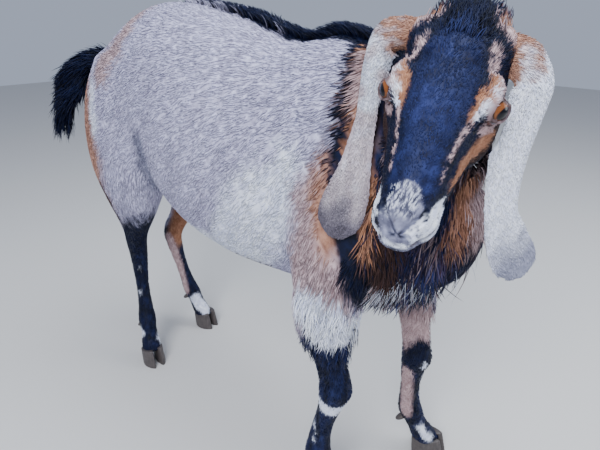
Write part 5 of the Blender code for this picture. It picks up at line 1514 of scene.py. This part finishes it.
# %% The socket class
class Wire:
    """One output socket; sums and products with it add Math nodes."""

    def __init__(self, tree, socket=None):
        self.tree, self.socket = tree, socket

    def node(self, kind, settings=(), out=0, **inputs):
        made = self.tree.nodes.new(kind)
        for key, value in dict(settings).items():
            setattr(made, key, value)
        for key, value in inputs.items():
            numbered = key[0] == "i" and key[1:].isdigit()
            slot = made.inputs[int(key[1:]) if numbered else key]
            if isinstance(value, Wire):
                self.tree.links.new(value.socket, slot)
            else:
                slot.default_value = value
        return Wire(self.tree, made.outputs[out])

    def math(self, operation, *values):
        inputs = {f"i{k}": value for k, value in enumerate(values)}
        return self.node("ShaderNodeMath", {"operation": operation}, **inputs)

    def __add__(self, other):
        return self.math("ADD", self, other)

    def __sub__(self, other):
        return self.math("SUBTRACT", self, other)

    def __rsub__(self, other):
        return self.math("SUBTRACT", other, self)

    def __mul__(self, other):
        return self.math("MULTIPLY", self, other)

    def __rmul__(self, other):
        return self.math("MULTIPLY", other, self)

    def __pow__(self, other):
        return self.math("POWER", self, other)

    def clamp(self):
        return self.math("MINIMUM", self.math("MAXIMUM", self, 0.0), 1.0)

    def between(self, low, high):
        """Eased step from 0 at low to 1 at high."""
        return self.node("ShaderNodeMapRange", {"interpolation_type": "SMOOTHSTEP"},
                         i0=self, i1=low, i2=high, i3=0.0, i4=1.0)

    def mix(self, first, second):
        """Colour mix with this socket as its factor."""
        return self.node("ShaderNodeMix", {"data_type": "RGBA"}, out=2, i0=self, i6=first, i7=second)


def linear(red, green, blue):
    """A colour from 0 to 255 as a screen shows it, made linear: ((v + 0.055) / 1.055) ^ 2.4."""
    return tuple(((v / 255 + 0.055) / 1.055) ** 2.4 for v in (red, green, blue)) + (1.0,)


def new_material(name, rough, specular, coat=0.0):
    made = bpy.data.materials.new(name)
    made.use_nodes = True
    shader = made.node_tree.nodes["Principled BSDF"]
    shader.inputs["Roughness"].default_value = rough
    shader.inputs["Specular IOR Level"].default_value = specular
    shader.inputs["Coat Weight"].default_value = coat
    shader.inputs["Coat Roughness"].default_value = 0.03
    return made, shader, Wire(made.node_tree)


def feed(wire, shader, name):
    wire.tree.links.new(wire.socket, shader.inputs[name])


def noise(net, spot, scale, detail):
    return net.node("ShaderNodeTexNoise", {"noise_dimensions": "3D"}, Vector=spot, Scale=scale, Detail=detail)


def stored(net, name):
    """The four numbers of a stored colour, each as a socket."""
    colour = net.node("ShaderNodeAttribute", {"attribute_name": name})
    parts = net.node("ShaderNodeSeparateColor", Color=colour).socket.node
    alpha = colour.socket.node.outputs["Alpha"]
    return [Wire(net.tree, socket) for socket in (*parts.outputs[:3], alpha)]


print("a screen's middle grey, made linear:", round(linear(128, 128, 128)[0], 3))

# %% [markdown]
# ## The coat's colour
# Each of the eight colours has a dark and a light hair.  The shade of the tuft
# and the place along it choose between them, and the stored shares add them
# up.  Silver roan is not one grey: it is pale hairs over a darker lilac
# undercoat, so its hairs darken towards the root.

# %% Coat and hide materials
# The last pair of hairs is painted blue sheen; the light black hair is also tinted blue as painted sheen over
# the hair's own black.
HAIRS = {
    ROAN: ((134, 128, 152), (220, 219, 248)), WHITE: ((204, 210, 238), (250, 253, 255)),
    TAN: ((112, 68, 46), (196, 144, 114)), BROWN: ((24, 16, 18), (76, 54, 50)),
    BLACK: ((1, 2, 8), (16, 25, 58)), PINK: ((138, 110, 112), (216, 190, 192)),
    GREY: ((78, 78, 98), (152, 154, 180)), BLUE_SHEEN: ((10, 14, 44), (54, 66, 124)),
}


def coat_colour(net):
    """Sum over the colours of share times the mix of dark and light hair."""
    white, tan, brown, black = stored(net, "coat_a")
    pink, grey, along, shade = stored(net, "coat_b")
    # blue holds the share of painted blue sheen.
    blue, roan, _, _ = stored(net, "coat_c")
    spot = net.node("ShaderNodeTexCoord", out=3)
    fleck = noise(net, spot, 420.0, 3.0)
    light = (shade * 0.85 + along * 0.35 + fleck * 0.5 - 0.35).clamp()
    total = (0.0, 0.0, 0.0)
    for share, (dark, pale) in zip((roan, white, tan, brown, black, pink, grey, blue), HAIRS.values()):
        hair = light.mix(linear(*dark), linear(*pale))
        scaled = net.node("ShaderNodeVectorMath", {"operation": "SCALE"}, i0=hair, Scale=share)
        total = net.node("ShaderNodeVectorMath", {"operation": "ADD"}, i0=total, i1=scaled)
    return total, black, spot


coat, shader, net = new_material("coat_hair", 0.62, 0.14)
colour, black, _ = coat_colour(net)
feed(colour, shader, "Base Color")
feed(0.70 - 0.20 * black, shader, "Roughness")

hide, shader, net = new_material("coat_hide", 0.65, 0.16)
colour, black, spot = coat_colour(net)
feed(colour, shader, "Base Color")
feed(0.72 - 0.22 * black, shader, "Roughness")
strokes = noise(net, spot, 600.0, 4.0)
bump = net.node("ShaderNodeBump", Height=strokes, Strength=0.35, Distance=0.0012)
feed(bump, shader, "Normal")
for item in coat_pieces + [dock]:
    item.data.materials.append(coat)
for item in [skin, *ears.values()]:
    item.data.materials.append(hide)
print("coat materials made for", len(coat_pieces) + 4, "pieces")

# %% [markdown]
# ## Eyes and horn
# The eye's picture is drawn from the stored gaze: a dark oval pupil, an amber
# iris with fine rays and a darker rim, and a dull red ball round it.  Horn is
# streaked from the hairline to the ground.

# %% Eye and horn materials
glass, shader, net = new_material("eye_amber", 0.08, 0.20, coat=0.20)
across, upward, _, _ = stored(net, "gaze")
radius = (across * across + upward * upward) ** 0.5
spot = net.node("ShaderNodeTexCoord", out=3)
rays = noise(net, spot, 900.0, 2.0)
oval = ((across * 2.0) ** 2.0) + (((upward - 0.06) * 2.8) ** 2.0)
pupil = 1.0 - oval.between(0.8, 1.3)
iris = (rays * 0.9 + radius * 0.6 - 0.15).clamp().mix(linear(150, 92, 48), linear(84, 42, 24))
rim = radius.between(0.54, 0.64)
ball = rim.mix(iris, linear(34, 20, 14))
ball = radius.between(0.70, 0.86).mix(ball, linear(96, 62, 58))
feed(pupil.mix(ball, linear(4, 5, 16)), shader, "Base Color")

horn, shader, net = new_material("hoof_horn", 0.48, 0.45)
spot = net.node("ShaderNodeTexCoord", out=3)
tall = net.node("ShaderNodeMapping", Vector=spot, Scale=(1.0, 1.0, 0.16))
streak, cloud = noise(net, tall, 260.0, 4.0), noise(net, spot, 60.0, 3.0)
horn_colour = (streak * 0.8 + cloud * 0.5 - 0.15).clamp().mix(linear(30, 28, 32), linear(98, 90, 88))
feed(horn_colour, shader, "Base Color")
feed(net.node("ShaderNodeBump", Height=streak, Strength=0.3, Distance=0.0006), shader, "Normal")
for item in eyes.values():
    item.data.materials.append(glass)
for item in hooves:
    item.data.materials.append(horn)
print("eye and horn materials made for", len(eyes) + len(hooves), "pieces")

# %% [markdown]
# ## Floor, light and camera
# A plain pale floor, a pale sky all round and three wide soft lights, the
# strongest from above on the camera's side.  The camera looks down on the goat's right shoulder from
# head height, as the photograph was taken.

# %% Stage
bpy.ops.mesh.primitive_plane_add(size=12.0, location=(0, 0, 0))
floor = bpy.context.object
floor.name = "floor"
pale, shader, net = new_material("floor_pale", 0.85, 0.2)
shader.inputs["Base Color"].default_value = linear(206, 204, 202)
floor.data.materials.append(pale)

world = bpy.data.worlds.new("sky")
bpy.context.scene.world = world
world.use_nodes = True
world.node_tree.nodes["Background"].inputs["Color"].default_value = linear(200, 212, 236)
world.node_tree.nodes["Background"].inputs["Strength"].default_value = 0.64


def soft_light(name, place, aim, size, power, tint):
    lamp = bpy.data.lights.new(name, "AREA")
    lamp.shape = "DISK"
    lamp.size, lamp.energy, lamp.color = size, power, tint
    item = bpy.data.objects.new(name, lamp)
    bpy.context.scene.collection.objects.link(item)
    item.location = np.array(place) + SHIFT
    item.rotation_euler = Vector(np.array(aim) - np.array(place)).to_track_quat("-Z", "Y").to_euler()


soft_light("key", (-2.0, -0.9, 2.3), (0.0, 0.1, 0.5), 1.6, 104, (0.93, 0.96, 1.0))
soft_light("top", (0.2, -0.2, 2.6), (0.0, 0.2, 0.5), 2.2, 58, (0.86, 0.93, 1.0))
soft_light("fill", (1.8, -1.8, 1.3), (0.0, 0.0, 0.5), 1.8, 26, (0.97, 0.98, 1.0))

CAMERA_AT = (-0.586, -0.385, 0.837)
YAW, PITCH, ROLL = 45.8, 23.4, 0.2           # degrees
FOCAL, PICTURE, SENSOR = 499.0, 600, 36.0    # pixels, pixels, mm
yaw, pitch, roll = np.radians([YAW, PITCH, ROLL])
ahead = np.array([math.sin(yaw) * math.cos(pitch), math.cos(yaw) * math.cos(pitch), -math.sin(pitch)])
right = np.array([math.cos(yaw), -math.sin(yaw), 0.0])
above = np.cross(right, ahead)
turned = math.cos(roll) * right + math.sin(roll) * above
upright = -math.sin(roll) * right + math.cos(roll) * above
lens = bpy.data.cameras.new("camera")
lens.sensor_width = SENSOR
lens.lens = FOCAL / PICTURE * SENSOR
camera = bpy.data.objects.new("camera", lens)
bpy.context.scene.collection.objects.link(camera)
camera.matrix_world = Matrix(np.block([
    [np.stack([turned, upright, -ahead], 1), (np.array(CAMERA_AT) + SHIFT)[:, None]],
    [np.zeros((1, 3)), np.ones((1, 1))]]).tolist())
bpy.context.scene.camera = camera
print("camera lens", round(lens.lens, 2), "mm at", np.round(camera.location[:], 3))
